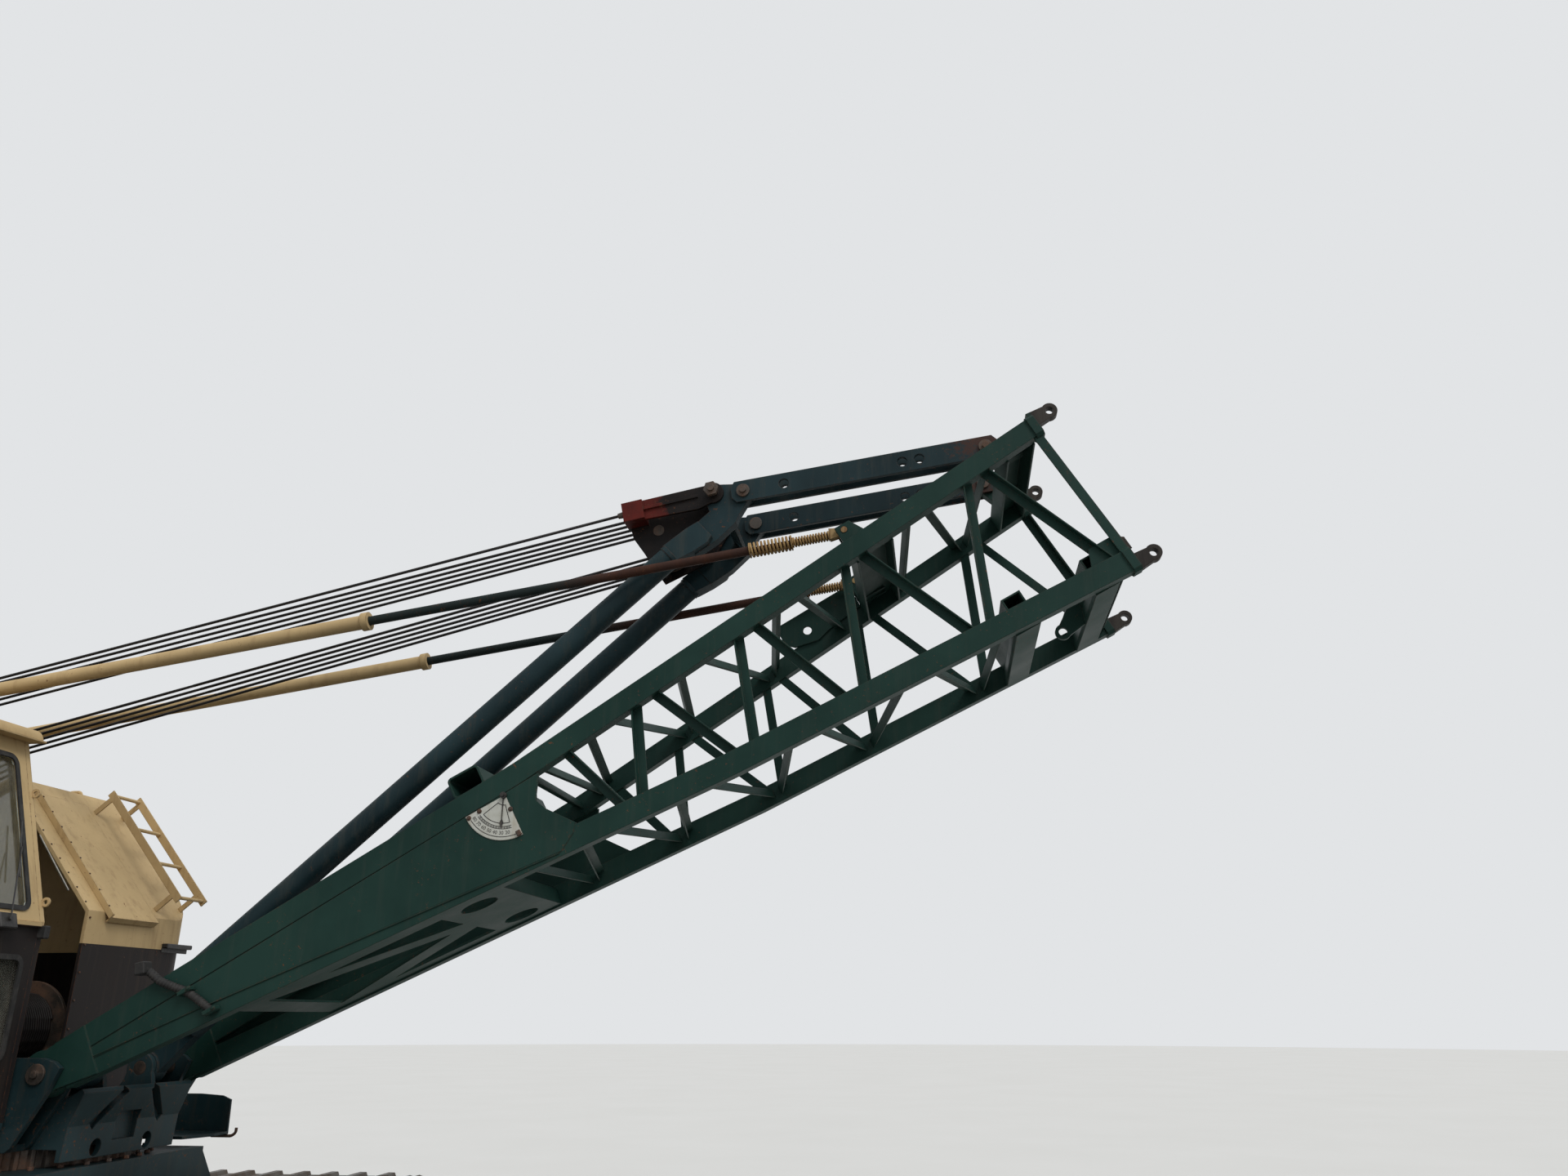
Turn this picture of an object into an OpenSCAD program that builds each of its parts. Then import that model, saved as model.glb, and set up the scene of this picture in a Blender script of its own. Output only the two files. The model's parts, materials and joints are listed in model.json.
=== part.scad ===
// Crawler crane with the base section of its lattice boom.
// Origin on the ground under the slewing axis, +X to the boom, +Y to the machine's left, +Z up.

/* [Crawlers] */
// Length of a crawler over its shoes
track_length = 5400; // [4600:50:6200]
// Height of a crawler over its shoes
track_height = 920; // [860:10:940]
// Width of a shoe
shoe_width = 760; // [600:10:900]
// Distance between the middles of the two crawlers
track_gauge = 3200; // [3000:50:3600]
// Number of shoes in one crawler
shoe_count = 48; // [40:2:56]
// Depth of a crawler from the shoe tips to the roller path
track_depth = 100; // [80:5:130]
// Height of the lug on a shoe
shoe_lug = 26; // [15:1:40]
// Distance between the two side plates of a crawler frame
frame_gap = 300; // [240:10:340]
// Thickness of a side plate of a crawler frame
frame_plate = 40; // [25:5:50]
// Radius of a lower roller
roller_r = 110; // [80:5:125]
// Number of lower rollers in one crawler
roller_count = 9; // [7:1:10]
// Radius of an upper roller
carrier_r = 80; // [60:5:100]

/* [Carbody] */
// Length of the middle box of the carbody
carbody_l = 2300; // [1900:50:2600]
// Width of the middle box of the carbody
carbody_w = 1800; // [1600:50:2200]
// Height of the carbody's top above the ground
carbody_top = 1200; // [1180:5:1230]
// Depth of the middle box
carbody_depth = 730; // [600:10:800]
// Width of a cross beam between the crawlers
axle_beam_w = 420; // [300:10:500]
// Outer radius of the slewing ring
ring_r = 1050; // [900:10:1100]
// Inner radius of the slewing ring
ring_bore_r = 760; // [600:10:850]
// Height of the slewing ring
ring_h = 110; // [80:5:130]
// Number of teeth of the slewing ring
ring_teeth = 72; // [48:4:90]

/* [Upper frame] */
// Distance of the boom foot pins in front of the slewing axis
pin_x = 1000; // [950:10:1100]
// Height of the boom foot pins above the ground
pin_z = 1750; // [1700:10:1850]
// Radius of a boom foot pin
pin_r = 45; // [35:1:55]
// Height of the deck's top above the ground
deck_z = 1480; // [1450:5:1510]
// Thickness of the deck
deck_t = 40; // [25:5:60]
// Distance of the deck's rear end behind the slewing axis
tail_x = 3300; // [3000:50:3600]
// Thickness of a foot bracket plate
bracket_t = 38; // [25:1:42]
// Radius of a foot bracket's top round the pin
bracket_r = 112; // [90:1:130]
// Height of the counterweight
weight_h = 1150; // [900:50:1300]
// Length of the counterweight
weight_l = 720; // [500:10:900]
// Radius of the counterweight's corners
weight_corner = 260; // [100:10:320]

/* [House] */
// Width of the house
house_w = 3000; // [2900:20:3200]
// Distance of the house's front wall ahead of the slewing axis
house_front_x = 400; // [350:10:450]
// Height of the house's roof above the ground
roof_z = 3810; // [3700:10:3850]
// Height where the front wall turns into the slope
slope_z = 2810; // [2700:10:2900]
// Distance of the slope's top behind the front wall
slope_run = 880; // [750:10:950]
// Half width of the open slot along the middle of the roof
slot_half = 620; // [600:5:660]
// Inner edge of the front slope, from the machine's middle
slope_in_y = 210; // [180:5:240]
// Radius of the house's front corner
house_corner = 250; // [200:10:300]
// Length of the engine
engine_l = 1500; // [1300:50:1700]
// Height of the engine
engine_h = 1250; // [1000:50:1350]
// Thickness of the house's walls
wall_t = 25; // [15:1:35]

/* [Cab] */
// Distance of the cab's front ahead of the slewing axis
cab_front_x = 870; // [800:10:890]
// Distance of the cab's back behind the slewing axis
cab_back_x = 900; // [800:10:1000]
// Inner side of the cab, from the machine's middle
cab_in_y = 790; // [780:5:850]
// Height of the cab's roof above the ground
cab_roof_z = 3910; // [3850:10:3970]
// Height of the sill of the upper front window
cab_sill_z = 2650; // [2550:10:2750]
// Rake of the upper front window
cab_rake = 18.5; // [14:0.5:22]
// Thickness of the cab's walls
cab_t = 40; // [30:1:50]
// Thickness of the cab's roof
cab_roof_t = 90; // [60:5:110]
// Thickness of the window glass
glass_t = 6; // [4:1:8]

/* [Boom] */
// Angle of the parked boom above the horizontal
boom_angle = 28.52; // [20:0.5:35]
// Length of the base section from the foot pins to the tip pins
boom_l = 7620; // [7400:10:7800]
// Half width of the boom, to the middle of a side frame
side_y = 660; // [655:1:665]
// Width of a chord
chord_w = 90; // [80:2:100]
// Depth of an upper chord
chord_top_d = 140; // [110:5:150]
// Depth of a lower chord
chord_low_d = 150; // [110:5:160]
// Half distance between the upper and the lower tip pins
tip_half = 600; // [580:5:620]
// Radius of the bores in the tip lugs
tip_bore_r = 27; // [22:1:32]
// Width of a tip lug
tip_lug_w = 60; // [50:2:70]
// Distance of the side plate's end from the foot pins
web_end = 3460; // [3300:10:3600]
// Thickness of the side plate
web_t = 16; // [10:1:25]
// Leg of a lacing angle
angle_leg = 64; // [50:1:75]
// Thickness of a lacing angle
angle_t = 9; // [6:1:12]
// Radius of the boom foot's boss
foot_r = 140; // [120:5:150]
// Width of the boom foot's boss
foot_w = 110; // [96:2:116]
// Distance of the mast rest from the foot pins
rest_u = 2955; // [2800:5:3050]
// Height of the mast rest
rest_h = 150; // [120:5:160]
// Radius of the angle indicator's quarter disc
dial_r = 285; // [240:5:300]

/* [Mast] */
// Angle of the parked mast above the horizontal
mast_angle = 42; // [38:0.5:46]
// Distance of the link pins from the foot pins
mast_l = 5750; // [5600:10:5850]
// Half distance between the two mast legs
mast_y = 330; // [325:1:345]
// Radius of a mast leg
mast_r = 84; // [70:1:90]
// Radius of the link pins
link_pin_r = 34; // [28:1:40]
// Depth of a link bar
link_d = 160; // [130:5:180]
// Thickness of a link bar's plate
link_t = 25; // [16:1:28]
// Thickness of the ears that the link bars clasp
ear_t = 80; // [60:2:84]
// Radius of a sheave of the bridle
bridle_sheave_r = 180; // [150:5:185]
// Radius of a sheave of the gantry
gantry_sheave_r = 260; // [200:5:280]
// Number of sheaves in the bridle and in the gantry
sheave_count = 5; // [3:1:5]

/* [Backstops] */
// Half distance between the two backstops
stop_y = 500; // [495:1:510]
// Radius of a backstop's tube
stop_tube_r = 50; // [42:1:50]
// Radius of a backstop's rod
stop_rod_r = 32; // [24:1:34]
// Length of a backstop's tube
stop_tube_l = 4700; // [4500:10:4800]
// Length of a backstop's rod
stop_rod_l = 5200; // [5100:10:5250]

/* [Hidden] */
$fn = 48;

// Clearances
seat_gap = 0.3;
run_gap = 0.5;
move_gap = 6;

// Crawlers
crawler_y = track_gauge / 2;
track_mid_z = track_height / 2;
track_run = track_length - track_height;
path_r = track_height / 2 - track_depth;
pitch_r = path_r + 30;
shoe_pitch = (2 * track_run + 2 * PI * pitch_r) / shoe_count;
frame_half = frame_gap / 2;
frame_in = crawler_y - frame_half - frame_plate;

// Upper
frame_z = carbody_top + ring_h + run_gap;
beam_in = 520;
beam_out = 800;
half_house = house_w / 2;
deck_half = half_house - 50;
house_back_x = -tail_x;
slope_top_x = house_front_x - slope_run;
slope_angle = atan2(roof_z - slope_z, slope_run);
foot_half = foot_w / 2;
inner_plate_y = side_y - foot_half - move_gap - bracket_t;
outer_plate_y = side_y + foot_half + move_gap;

// Cab
cab_out_y = half_house;
cab_top_z = cab_roof_z - cab_roof_t;
cab_rake_x = cab_front_x - (cab_top_z - cab_sill_z) * tan(cab_rake);
door_x0 = -250;
door_x1 = 560;
door_z0 = deck_z + 90;
door_z1 = cab_top_z - 120;

// Boom
chord_in = side_y - chord_w / 2;
chord_out = side_y + chord_w / 2;
// Columns: place along the boom, height of the upper chord's top edge
top_edge = [[120, 136], [3400, 268], [boom_l - 130, 622]];
// Columns: place along the boom, height of the lower chord's bottom edge
low_edge = [[120, -157], [4600, -517], [boom_l - 130, -650]];
// Places of the lacing's joints on the upper and on the lower chord
top_nodes = [3660, 4330, 5120, 5963, 6953];
low_nodes = [3970, 4750, 5520, 6430, boom_l - 190];
// Places of the zigzags between the two side frames, one side and the other by turns
top_zigzag = [3450, 3630, 3960, 4380, 4670, 5130, 5450, 5820];
tip_zigzag = [6300, 6500, 6900, boom_l - 460];
low_zigzag = [3100, 3290, 3640, 4000, 4300, 4750, 5110, 5500, 5940, 6410, 6610];
beam_places = [6640, boom_l - 405];

// Mast and stays, in the boom's or the mast's own frame
link_foot = [boom_l - 407, 730];
bridle_pin = [mast_l - 164, 147];
bridle_pin_r = 40;
ear_y = 300;
gantry_axis = [-2100, pin_z + 2050];
gantry_eye = gantry_axis + [105, 213];
stop_eye = [6030, 622];
eye_half = 55;

function edge_z(edge, u) = lookup(u, edge);
function top_mid(u) = [u, edge_z(top_edge, u) - chord_top_d / 2];
function low_mid(u) = [u, edge_z(low_edge, u) + chord_low_d / 2];
function polar(r, a) = [r * cos(a), r * sin(a)];

// The backstops' line from the eye on the boom to the eye beside the gantry
stop_place = [pin_x, pin_z] + polar(norm(stop_eye), atan2(stop_eye[1], stop_eye[0]) + boom_angle);
stop_run = stop_place - gantry_eye;
stop_angle = atan2(stop_run[1], stop_run[0]);
stop_length = norm(stop_run);

// An outline in X and Z, drawn from y0 to y1
module slab(y0, y1) {
    translate([0, y1, 0]) rotate([90, 0, 0]) linear_extrude(y1 - y0) children();
}

// A round bar along Y
module y_bar(p, r, y0, y1) {
    translate([p[0], y0, p[1]]) rotate([-90, 0, 0]) cylinder(r = r, h = y1 - y0);
}

// A rectangle with round corners, from its lower left corner
module rounded(w, h, r) {
    translate([r, 0]) square([w - 2 * r, h]);
    translate([0, r]) square([w, h - 2 * r]);
    for (x = [r, w - r], y = [r, h - r]) translate([x, y]) circle(r = r);
}

// Both sides of the machine
module both_sides() {
    children();
    mirror([0, 1, 0]) children();
}

// A straight piece along p to q, from an outline drawn across it
module strut(p, q) {
    d = q - p;
    translate(p) rotate([0, acos(d[2] / norm(d)), atan2(d[1], d[0])])
        linear_extrude(norm(d)) children();
}

module angle_outline() {
    polygon([[-angle_leg / 2, -angle_leg / 2], [angle_leg / 2, -angle_leg / 2],
        [angle_leg / 2, angle_t - angle_leg / 2], [angle_t - angle_leg / 2, angle_t - angle_leg / 2],
        [angle_t - angle_leg / 2, angle_leg / 2], [-angle_leg / 2, angle_leg / 2]]);
}

// A flat bar between two points of an outline
module link_outline(p, q, w) {
    d = q - p;
    n = [-d[1], d[0]] / norm(d) * w / 2;
    polygon([p - n, q - n, q + n, p + n]);
}

module at_boom() {
    translate([pin_x, 0, pin_z]) rotate([0, -boom_angle, 0]) children();
}

module at_mast() {
    translate([pin_x, 0, pin_z]) rotate([0, -mast_angle, 0]) children();
}

// Crawlers

// Place and heading on the middle line of the shoes, s along it
function track_point(s, r) =
    let (half = PI * pitch_r)
    s < track_run ? [s - track_run / 2, -r, 0]
    : s < track_run + half ? let (a = (s - track_run) / half * 180)
        [track_run / 2 + r * sin(a), -r * cos(a), a]
    : s < 2 * track_run + half ? [track_run / 2 - (s - track_run - half), r, 180]
    : let (a = (s - 2 * track_run - half) / half * 180)
        [-track_run / 2 - r * sin(a), r * cos(a), 180 + a];

shoe_out = track_height / 2 - pitch_r;
shoe_part = 0.42;
lug_part = 0.16;
// Columns: share of the pitch from the shoe's middle, height above the middle line
shoe_form = [[-shoe_part, 6], [-shoe_part, shoe_out - shoe_lug], [-lug_part, shoe_out - shoe_lug],
    [-lug_part * 0.7, shoe_out], [lug_part * 0.7, shoe_out], [lug_part, shoe_out - shoe_lug],
    [shoe_part, shoe_out - shoe_lug], [shoe_part, 6]];

module track() {
    outer = [for (i = [0:shoe_count - 1]) let (c = track_point((i + 0.5) * shoe_pitch, pitch_r))
        for (f = shoe_form) [c[0], c[1]] + f[0] * shoe_pitch * [cos(c[2]), sin(c[2])]
            + f[1] * [sin(c[2]), -cos(c[2])]];
    slab(-shoe_width / 2, shoe_width / 2) difference() {
        polygon(outer);
        union() {
            for (side = [-1, 1]) translate([side * track_run / 2, 0]) circle(r = path_r);
            square([track_run, 2 * path_r], center = true);
        }
    }
}

module track_left() color("#4b4641") translate([0, crawler_y, track_mid_z]) track();
module track_right() color("#4b4641") translate([0, -crawler_y, track_mid_z]) track();

frame_low = track_depth + roller_r * 0.8;
cover_r = 88;
cover_t = 24;
cap_r = 38;
cap_t = 12;
roller_z = track_depth + roller_r + run_gap;
carrier_z = track_height - track_depth - carrier_r - run_gap;
carrier_count = 3;
roller_reach = track_run - 2 * path_r - 320;
function roller_x(i, count) = -roller_reach / 2 + i * roller_reach / (count - 1);
frame_high = track_height - track_depth - carrier_r * 1.2;

module crawler_frame() {
    end_x = track_run / 2;
    box_x = end_x - path_r - 60;
    module side_outline() {
        polygon([[-end_x - 130, track_mid_z - 90], [-box_x, frame_low], [box_x, frame_low],
            [end_x + 130, track_mid_z - 90], [end_x + 130, track_mid_z + 90], [box_x, frame_high],
            [-box_x, frame_high], [-end_x - 130, track_mid_z + 90]]);
    }
    for (side = [-1, 1]) {
        y0 = side < 0 ? -frame_half - frame_plate : frame_half;
        slab(y0, y0 + frame_plate) side_outline();
        // Covers over the ends of the tumblers' and the lower rollers' shafts
        for (end = [-1, 1])
            y_bar([end * end_x, track_mid_z], cover_r, y0 - cover_t, y0 + frame_plate + cover_t);
        for (i = [0:roller_count - 1])
            y_bar([roller_x(i, roller_count), roller_z], cap_r, y0 - cap_t, y0 + frame_plate + cap_t);
    }
    low = track_depth + 2 * roller_r + 30;
    high = track_height - track_depth - 2 * carrier_r - 30;
    translate([-box_x, -frame_half, low]) cube([2 * box_x, frame_gap, high - low]);
}

module crawler_frame_left() color("#3a4a4b") translate([0, crawler_y, 0]) crawler_frame();
module crawler_frame_right() color("#3a4a4b") translate([0, -crawler_y, 0]) crawler_frame();

module tumbler() {
    half = frame_half - cover_t - seat_gap;
    rim = path_r - 80;
    hub = 120;
    difference() {
        translate([0, half, 0]) rotate([90, 0, 0]) rotate_extrude()
            polygon([[0, 0], [hub, 0], [hub, 40], [rim, 40], [rim, 10], [path_r - run_gap, 10],
                [path_r - run_gap, 2 * half - 10], [rim, 2 * half - 10], [rim, 2 * half - 40],
                [hub, 2 * half - 40], [hub, 2 * half], [0, 2 * half]]);
        // Lightening holes round the hub
        for (a = [0:60:300]) y_bar(polar((rim + hub) / 2, a), (rim - hub) * 0.3, -half - 1, half + 1);
    }
}

module tumblers() color("#423e3a") {
    for (side = [-1, 1], end = [-1, 1])
        translate([end * track_run / 2, side * crawler_y, track_mid_z]) tumbler();
}

// Columns: number of rollers in the row, radius, height of the axis
roller_rows = [[roller_count, roller_r, roller_z], [carrier_count, carrier_r, carrier_z]];

module track_rollers() color("#423e3a") {
    half = frame_half - cap_t - seat_gap;
    for (side = [-1, 1], row = roller_rows, i = [0:row[0] - 1])
        translate([0, side * crawler_y, 0]) difference() {
            y_bar([roller_x(i, row[0]), row[2]], row[1], -half, half);
            // The waist between the roller's two rims
            translate([roller_x(i, row[0]), 0, row[2]]) rotate([90, 0, 0])
                rotate_extrude() translate([row[1] - 18, -half * 0.45]) square([30, half * 0.9]);
        }
}

module carbody() color("#34494a") {
    box_low = carbody_top - carbody_depth;
    beam_top = track_height - track_depth - 20;
    track_in = crawler_y - shoe_width / 2 - 20;
    difference() {
        union() {
            translate([-carbody_l / 2, -carbody_w / 2, box_low])
                cube([carbody_l, carbody_w, carbody_depth]);
            for (end = [-1, 1]) {
                x = end * (carbody_l / 2 - axle_beam_w / 2);
                // A beam that gets shallower towards the crawlers
                translate([x - axle_beam_w / 2, 0, 0]) rotate([90, 0, 90]) linear_extrude(axle_beam_w)
                    polygon([[-frame_in, box_low + 80], [-carbody_w / 2, box_low], [carbody_w / 2, box_low],
                        [frame_in, box_low + 80], [frame_in, beam_top], [track_in, beam_top],
                        [carbody_w / 2, carbody_top - 30], [-carbody_w / 2, carbody_top - 30],
                        [-track_in, beam_top], [-frame_in, beam_top]]);
            }
        }
        translate([0, 0, box_low - 1]) cylinder(r = ring_bore_r - 160, h = carbody_depth + 2);
    }
}

module slew_ring() color("#4a4a46") translate([0, 0, carbody_top]) {
    tooth_h = 26;
    step = 360 / ring_teeth;
    // Columns: share of a tooth's step, distance from the tooth's tip circle
    tooth_form = [[-0.42, tooth_h], [-0.28, tooth_h], [-0.12, 0], [0.12, 0], [0.28, tooth_h],
        [0.42, tooth_h]];
    difference() {
        linear_extrude(ring_h) polygon([for (i = [0:ring_teeth - 1], f = tooth_form)
            polar(ring_r - f[1], (i + f[0]) * step)]);
        translate([0, 0, -1]) cylinder(r = ring_bore_r, h = ring_h + 2);
    }
}

// Upper frame

module revolving_frame() color("#2f4647") {
    translate([-tail_x, -deck_half, deck_z - deck_t]) cube([tail_x + house_front_x, 2 * deck_half, deck_t]);
    translate([house_front_x, -deck_half, deck_z - deck_t])
        cube([cab_front_x - house_front_x, deck_half - cab_in_y, deck_t]);
    both_sides() translate([-tail_x, beam_in, frame_z])
        cube([tail_x + house_front_x, beam_out - beam_in, deck_z - deck_t - frame_z]);
    intersection() {
        difference() {
            translate([0, 0, frame_z]) cylinder(r = ring_r, h = deck_z - deck_t - frame_z);
            translate([0, 0, frame_z - 1]) cylinder(r = ring_bore_r, h = deck_z - deck_t - frame_z + 1);
        }
        translate([-ring_r - 1, -ring_r - 1, frame_z - 1])
            cube([ring_r + 1 + house_front_x, 2 * ring_r + 2, deck_z]);
    }
}

module bracket_outline() {
    top = bracket_r * 0.83;
    nose = bracket_r * 1.33;
    difference() {
        polygon([[house_front_x + seat_gap, frame_z], [pin_x - 110, frame_z],
            [pin_x - 79, frame_z + 24], [pin_x + top, pin_z - top - 12], [pin_x + nose, pin_z + 36],
            [pin_x + top + 11, pin_z + 71], [pin_x + 26, pin_z + top], [pin_x - 204, pin_z + top],
            [pin_x - 284, pin_z + 34], [pin_x - 325, pin_z - 81], [pin_x - 420, deck_z + 60],
            [house_front_x + seat_gap, deck_z + 40]]);
        translate([pin_x, pin_z]) circle(r = pin_r + run_gap);
    }
}

module foot_brackets() color("#34504f") both_sides() {
    slab(inner_plate_y, inner_plate_y + bracket_t) bracket_outline();
    slab(outer_plate_y, outer_plate_y + bracket_t) bracket_outline();
    // The foot plate that joins the two
    translate([house_front_x + seat_gap, inner_plate_y + bracket_t, frame_z])
        cube([pin_x - 110 - house_front_x, outer_plate_y - inner_plate_y - bracket_t, bracket_t]);
}

cross_x0 = pin_x + 90;
cross_z0 = pin_z - 510;
cross_z1 = pin_z - 150;
cross_knee = [pin_x + 130, pin_z - 310];
cross_nose = [pin_x + 200, pin_z - 115];
mast_ear_t = 40;
mast_foot_half = 60;
mast_ear_y = mast_y - mast_foot_half - run_gap - mast_ear_t;

module front_crossmember() color("#2c4443") {
    span = inner_plate_y - seat_gap;
    back_x = ring_r + 2 * move_gap + 20;
    difference() {
        union() {
            translate([cross_x0 - 230, -span, frame_z]) cube([232, 2 * span, cross_z1 - frame_z]);
            slab(-span, span) polygon([[back_x, cross_z0], [cross_knee[0] - 14, cross_z0], cross_knee,
                cross_nose, cross_nose + [-20, 24], [back_x, cross_z1]]);
            both_sides() slab(mast_ear_y, mast_ear_y + mast_ear_t) mast_ear_outline();
        }
        // Round holes low in the face, and slanted slots in its upper half
        both_sides() {
            translate([cross_x0 - 60, 255, pin_z - 450]) rotate([0, 90, 0]) cylinder(r = 52, h = 400);
            translate([pin_x + 100, 245, pin_z - 215]) rotate([-45, 0, 0])
                translate([0, -150, -30]) cube([200, 300, 60]);
        }
        translate([cross_knee[0] - 40, -110, pin_z - 420]) cube([200, 220, 170]);
    }
}

module mast_ear_outline() {
    difference() {
        union() {
            polygon([[pin_x - 130, cross_z1 - 20], [pin_x + 130, cross_z1 - 20],
                [pin_x + 84, pin_z], [pin_x - 84, pin_z]]);
            translate([pin_x, pin_z]) circle(r = 95);
        }
        translate([pin_x, pin_z]) circle(r = pin_r + run_gap);
    }
}

module foot_pins() color("#5a4a3c") both_sides() {
    y1 = outer_plate_y + bracket_t + seat_gap;
    y_bar([pin_x, pin_z], pin_r, mast_ear_y, y1 + 2);
    y_bar([pin_x, pin_z], pin_r + 16, y1, y1 + 14);
    y_bar([pin_x, pin_z], pin_r * 0.5, y1, y1 + 30);
}

module counterweight() color("#2e2c2b") {
    z0 = frame_z + 20;
    back_x = -tail_x - weight_l;
    difference() {
        translate([0, 0, z0]) linear_extrude(weight_h) weight_outline(0);
        // The joint between the lower and the upper slab
        translate([0, 0, z0 + weight_h * 0.55]) linear_extrude(14) difference() {
            translate([back_x - 1, -half_house - 1]) square([weight_l, house_w + 2]);
            weight_outline(16);
        }
        for (side = [-1, 1]) translate([back_x - 1, side * 700, z0 + weight_h - 260])
            rotate([0, 90, 0]) cylinder(r = 60, h = 160);
    }
    // Lifting lugs on top
    for (side = [-1, 1]) translate([-tail_x - weight_l / 2, side * 900, z0 + weight_h]) difference() {
        translate([-80, -20, -2]) cube([160, 40, 112]);
        y_bar([0, 60], 28, -21, 21);
    }
}

module weight_outline(inset) {
    r = weight_corner - inset;
    translate([-tail_x - weight_l + weight_corner, -half_house + inset])
        square([weight_l - weight_corner - seat_gap, house_w - 2 * inset]);
    translate([-tail_x - weight_l + inset, -half_house + weight_corner])
        square([weight_corner, house_w - 2 * weight_corner]);
    for (side = [-1, 1])
        translate([-tail_x - weight_l + weight_corner, side * (half_house - weight_corner)]) circle(r = r);
}

gantry_y0 = 330;
gantry_y1 = 415;
tie_z = deck_z + 1220;
tie_w = 100;
tie_h = 120;

module gantry() color("#2c4040") {
    both_sides() slab(gantry_y0, gantry_y1) difference() {
        intersection() {
            gantry_outline();
            translate([-tail_x, deck_z + seat_gap]) square([tail_x, roof_z]);
        }
        translate(gantry_axis) circle(r = 45 + seat_gap);
        translate(gantry_eye) circle(r = 30);
    }
    // Cross ties between the two frames
    for (x = [gantry_axis[0] + 105, gantry_axis[0] - 575])
        translate([x - tie_w / 2, -gantry_y0, tie_z]) cube([tie_w, 2 * gantry_y0, tie_h]);
}

module gantry_outline() {
    link_outline([gantry_axis[0] + 150, deck_z - 20], [gantry_axis[0] + 60, gantry_axis[1]], 170);
    link_outline([-tail_x + 260, deck_z - 20], [gantry_axis[0] - 40, gantry_axis[1]], 150);
    translate(gantry_axis) circle(r = 150);
    link_outline(gantry_axis, gantry_eye, 116);
    translate(gantry_eye) circle(r = 68);
    translate([-tail_x + 130, deck_z]) square([260, 120]);
    translate([gantry_axis[0] + 20, deck_z]) square([260, 120]);
}

// A row of grooved sheaves on one shaft, from outlines with a round groove
module sheave_row(r, pitch, width, shaft_r, half_shaft) {
    for (i = [0:sheave_count - 1]) {
        y = (i - (sheave_count - 1) / 2) * pitch;
        translate([0, y + width / 2, 0]) rotate([90, 0, 0]) rotate_extrude() difference() {
            polygon([[0, 0], [r * 0.35, 0], [r * 0.35, width * 0.25], [r - 45, width * 0.25], [r - 45, 0],
                [r, 0], [r, width], [r - 45, width], [r - 45, width * 0.75], [r * 0.35, width * 0.75],
                [r * 0.35, width], [0, width]]);
            translate([r, width / 2]) circle(r = width * 0.36);
        }
    }
    translate([0, -half_shaft, 0]) rotate([-90, 0, 0]) cylinder(r = shaft_r, h = 2 * half_shaft);
}

module gantry_sheaves() color("#3a3634")
    translate([gantry_axis[0], 0, gantry_axis[1]])
        sheave_row(gantry_sheave_r, 100, 64, 45, gantry_y1);

// House

module house_outline() {
    polygon([[house_front_x, deck_z + seat_gap], [house_front_x, slope_z], [slope_top_x, roof_z],
        [house_back_x, roof_z], [house_back_x, deck_z + seat_gap]]);
}

// The room inside the front wall, the slope and the roof
module house_room_outline() {
    polygon([[house_front_x - wall_t, deck_z], [house_front_x - wall_t, slope_z - wall_t / 2],
        [slope_top_x - wall_t / 2, roof_z - wall_t], [house_back_x - 1, roof_z - wall_t],
        [house_back_x - 1, deck_z]]);
}

// The left half's plan with its round front corner
module house_plan(inset) {
    linear_extrude(roof_z + 10) {
        translate([house_back_x - 2, 0])
            square([house_front_x - house_back_x + 2 - house_corner, half_house - inset]);
        translate([house_back_x - 2, 0])
            square([house_front_x - house_back_x + 2 - inset, half_house - house_corner]);
        translate([house_front_x - house_corner, half_house - house_corner])
            circle(r = house_corner - inset);
    }
}

module house_side_outline(x0) {
    intersection() {
        house_outline();
        translate([house_back_x, 0]) square([x0 - house_back_x, roof_z + 10]);
    }
}

// Columns: low X, low Z, number of slots of a grille in the house's sides
grilles = [[-3080, deck_z + 330, 9], [-2300, deck_z + 330, 9]];
slot_l = 560;
slot_h = 34;
slot_pitch = 84;

module grille_slots() {
    for (g = grilles, i = [0:g[2] - 1])
        translate([g[0], g[1] + i * slot_pitch]) square([slot_l, slot_h]);
}

module house_left() color("#cbb083") difference() {
    intersection() {
        union() {
            slab(slot_half, half_house) house_outline();
            // The front wall and the slope reach further in than the roof
            slab(slope_in_y, slot_half) intersection() {
                house_outline();
                translate([slope_top_x - 60, 0]) square([2000, roof_z]);
            }
        }
        house_plan(0);
    }
    intersection() {
        slab(0, half_house) house_room_outline();
        house_plan(wall_t);
    }
    slab(half_house - wall_t - 1, half_house + 1) grille_slots();
}

hatch_y = 398;
hatch_w = 560;
hatch_l = 1255;
hatch_t = 14;
hatch_lip = 65;

module house_hatch() color("#cbb083")
    translate([house_front_x, 0, slope_z]) rotate([0, -(180 - slope_angle), 0]) mirror([0, 0, 1]) {
        translate([-hatch_lip, hatch_y, seat_gap]) cube([hatch_l, hatch_w, hatch_t]);
        // The folded edge beside the open middle, and the drip lip at the bottom
        translate([-hatch_lip, hatch_y - 12, seat_gap]) cube([hatch_l, 12, 44]);
        translate([-hatch_lip, hatch_y, seat_gap - 36]) cube([12, hatch_w, 38]);
    }

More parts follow.
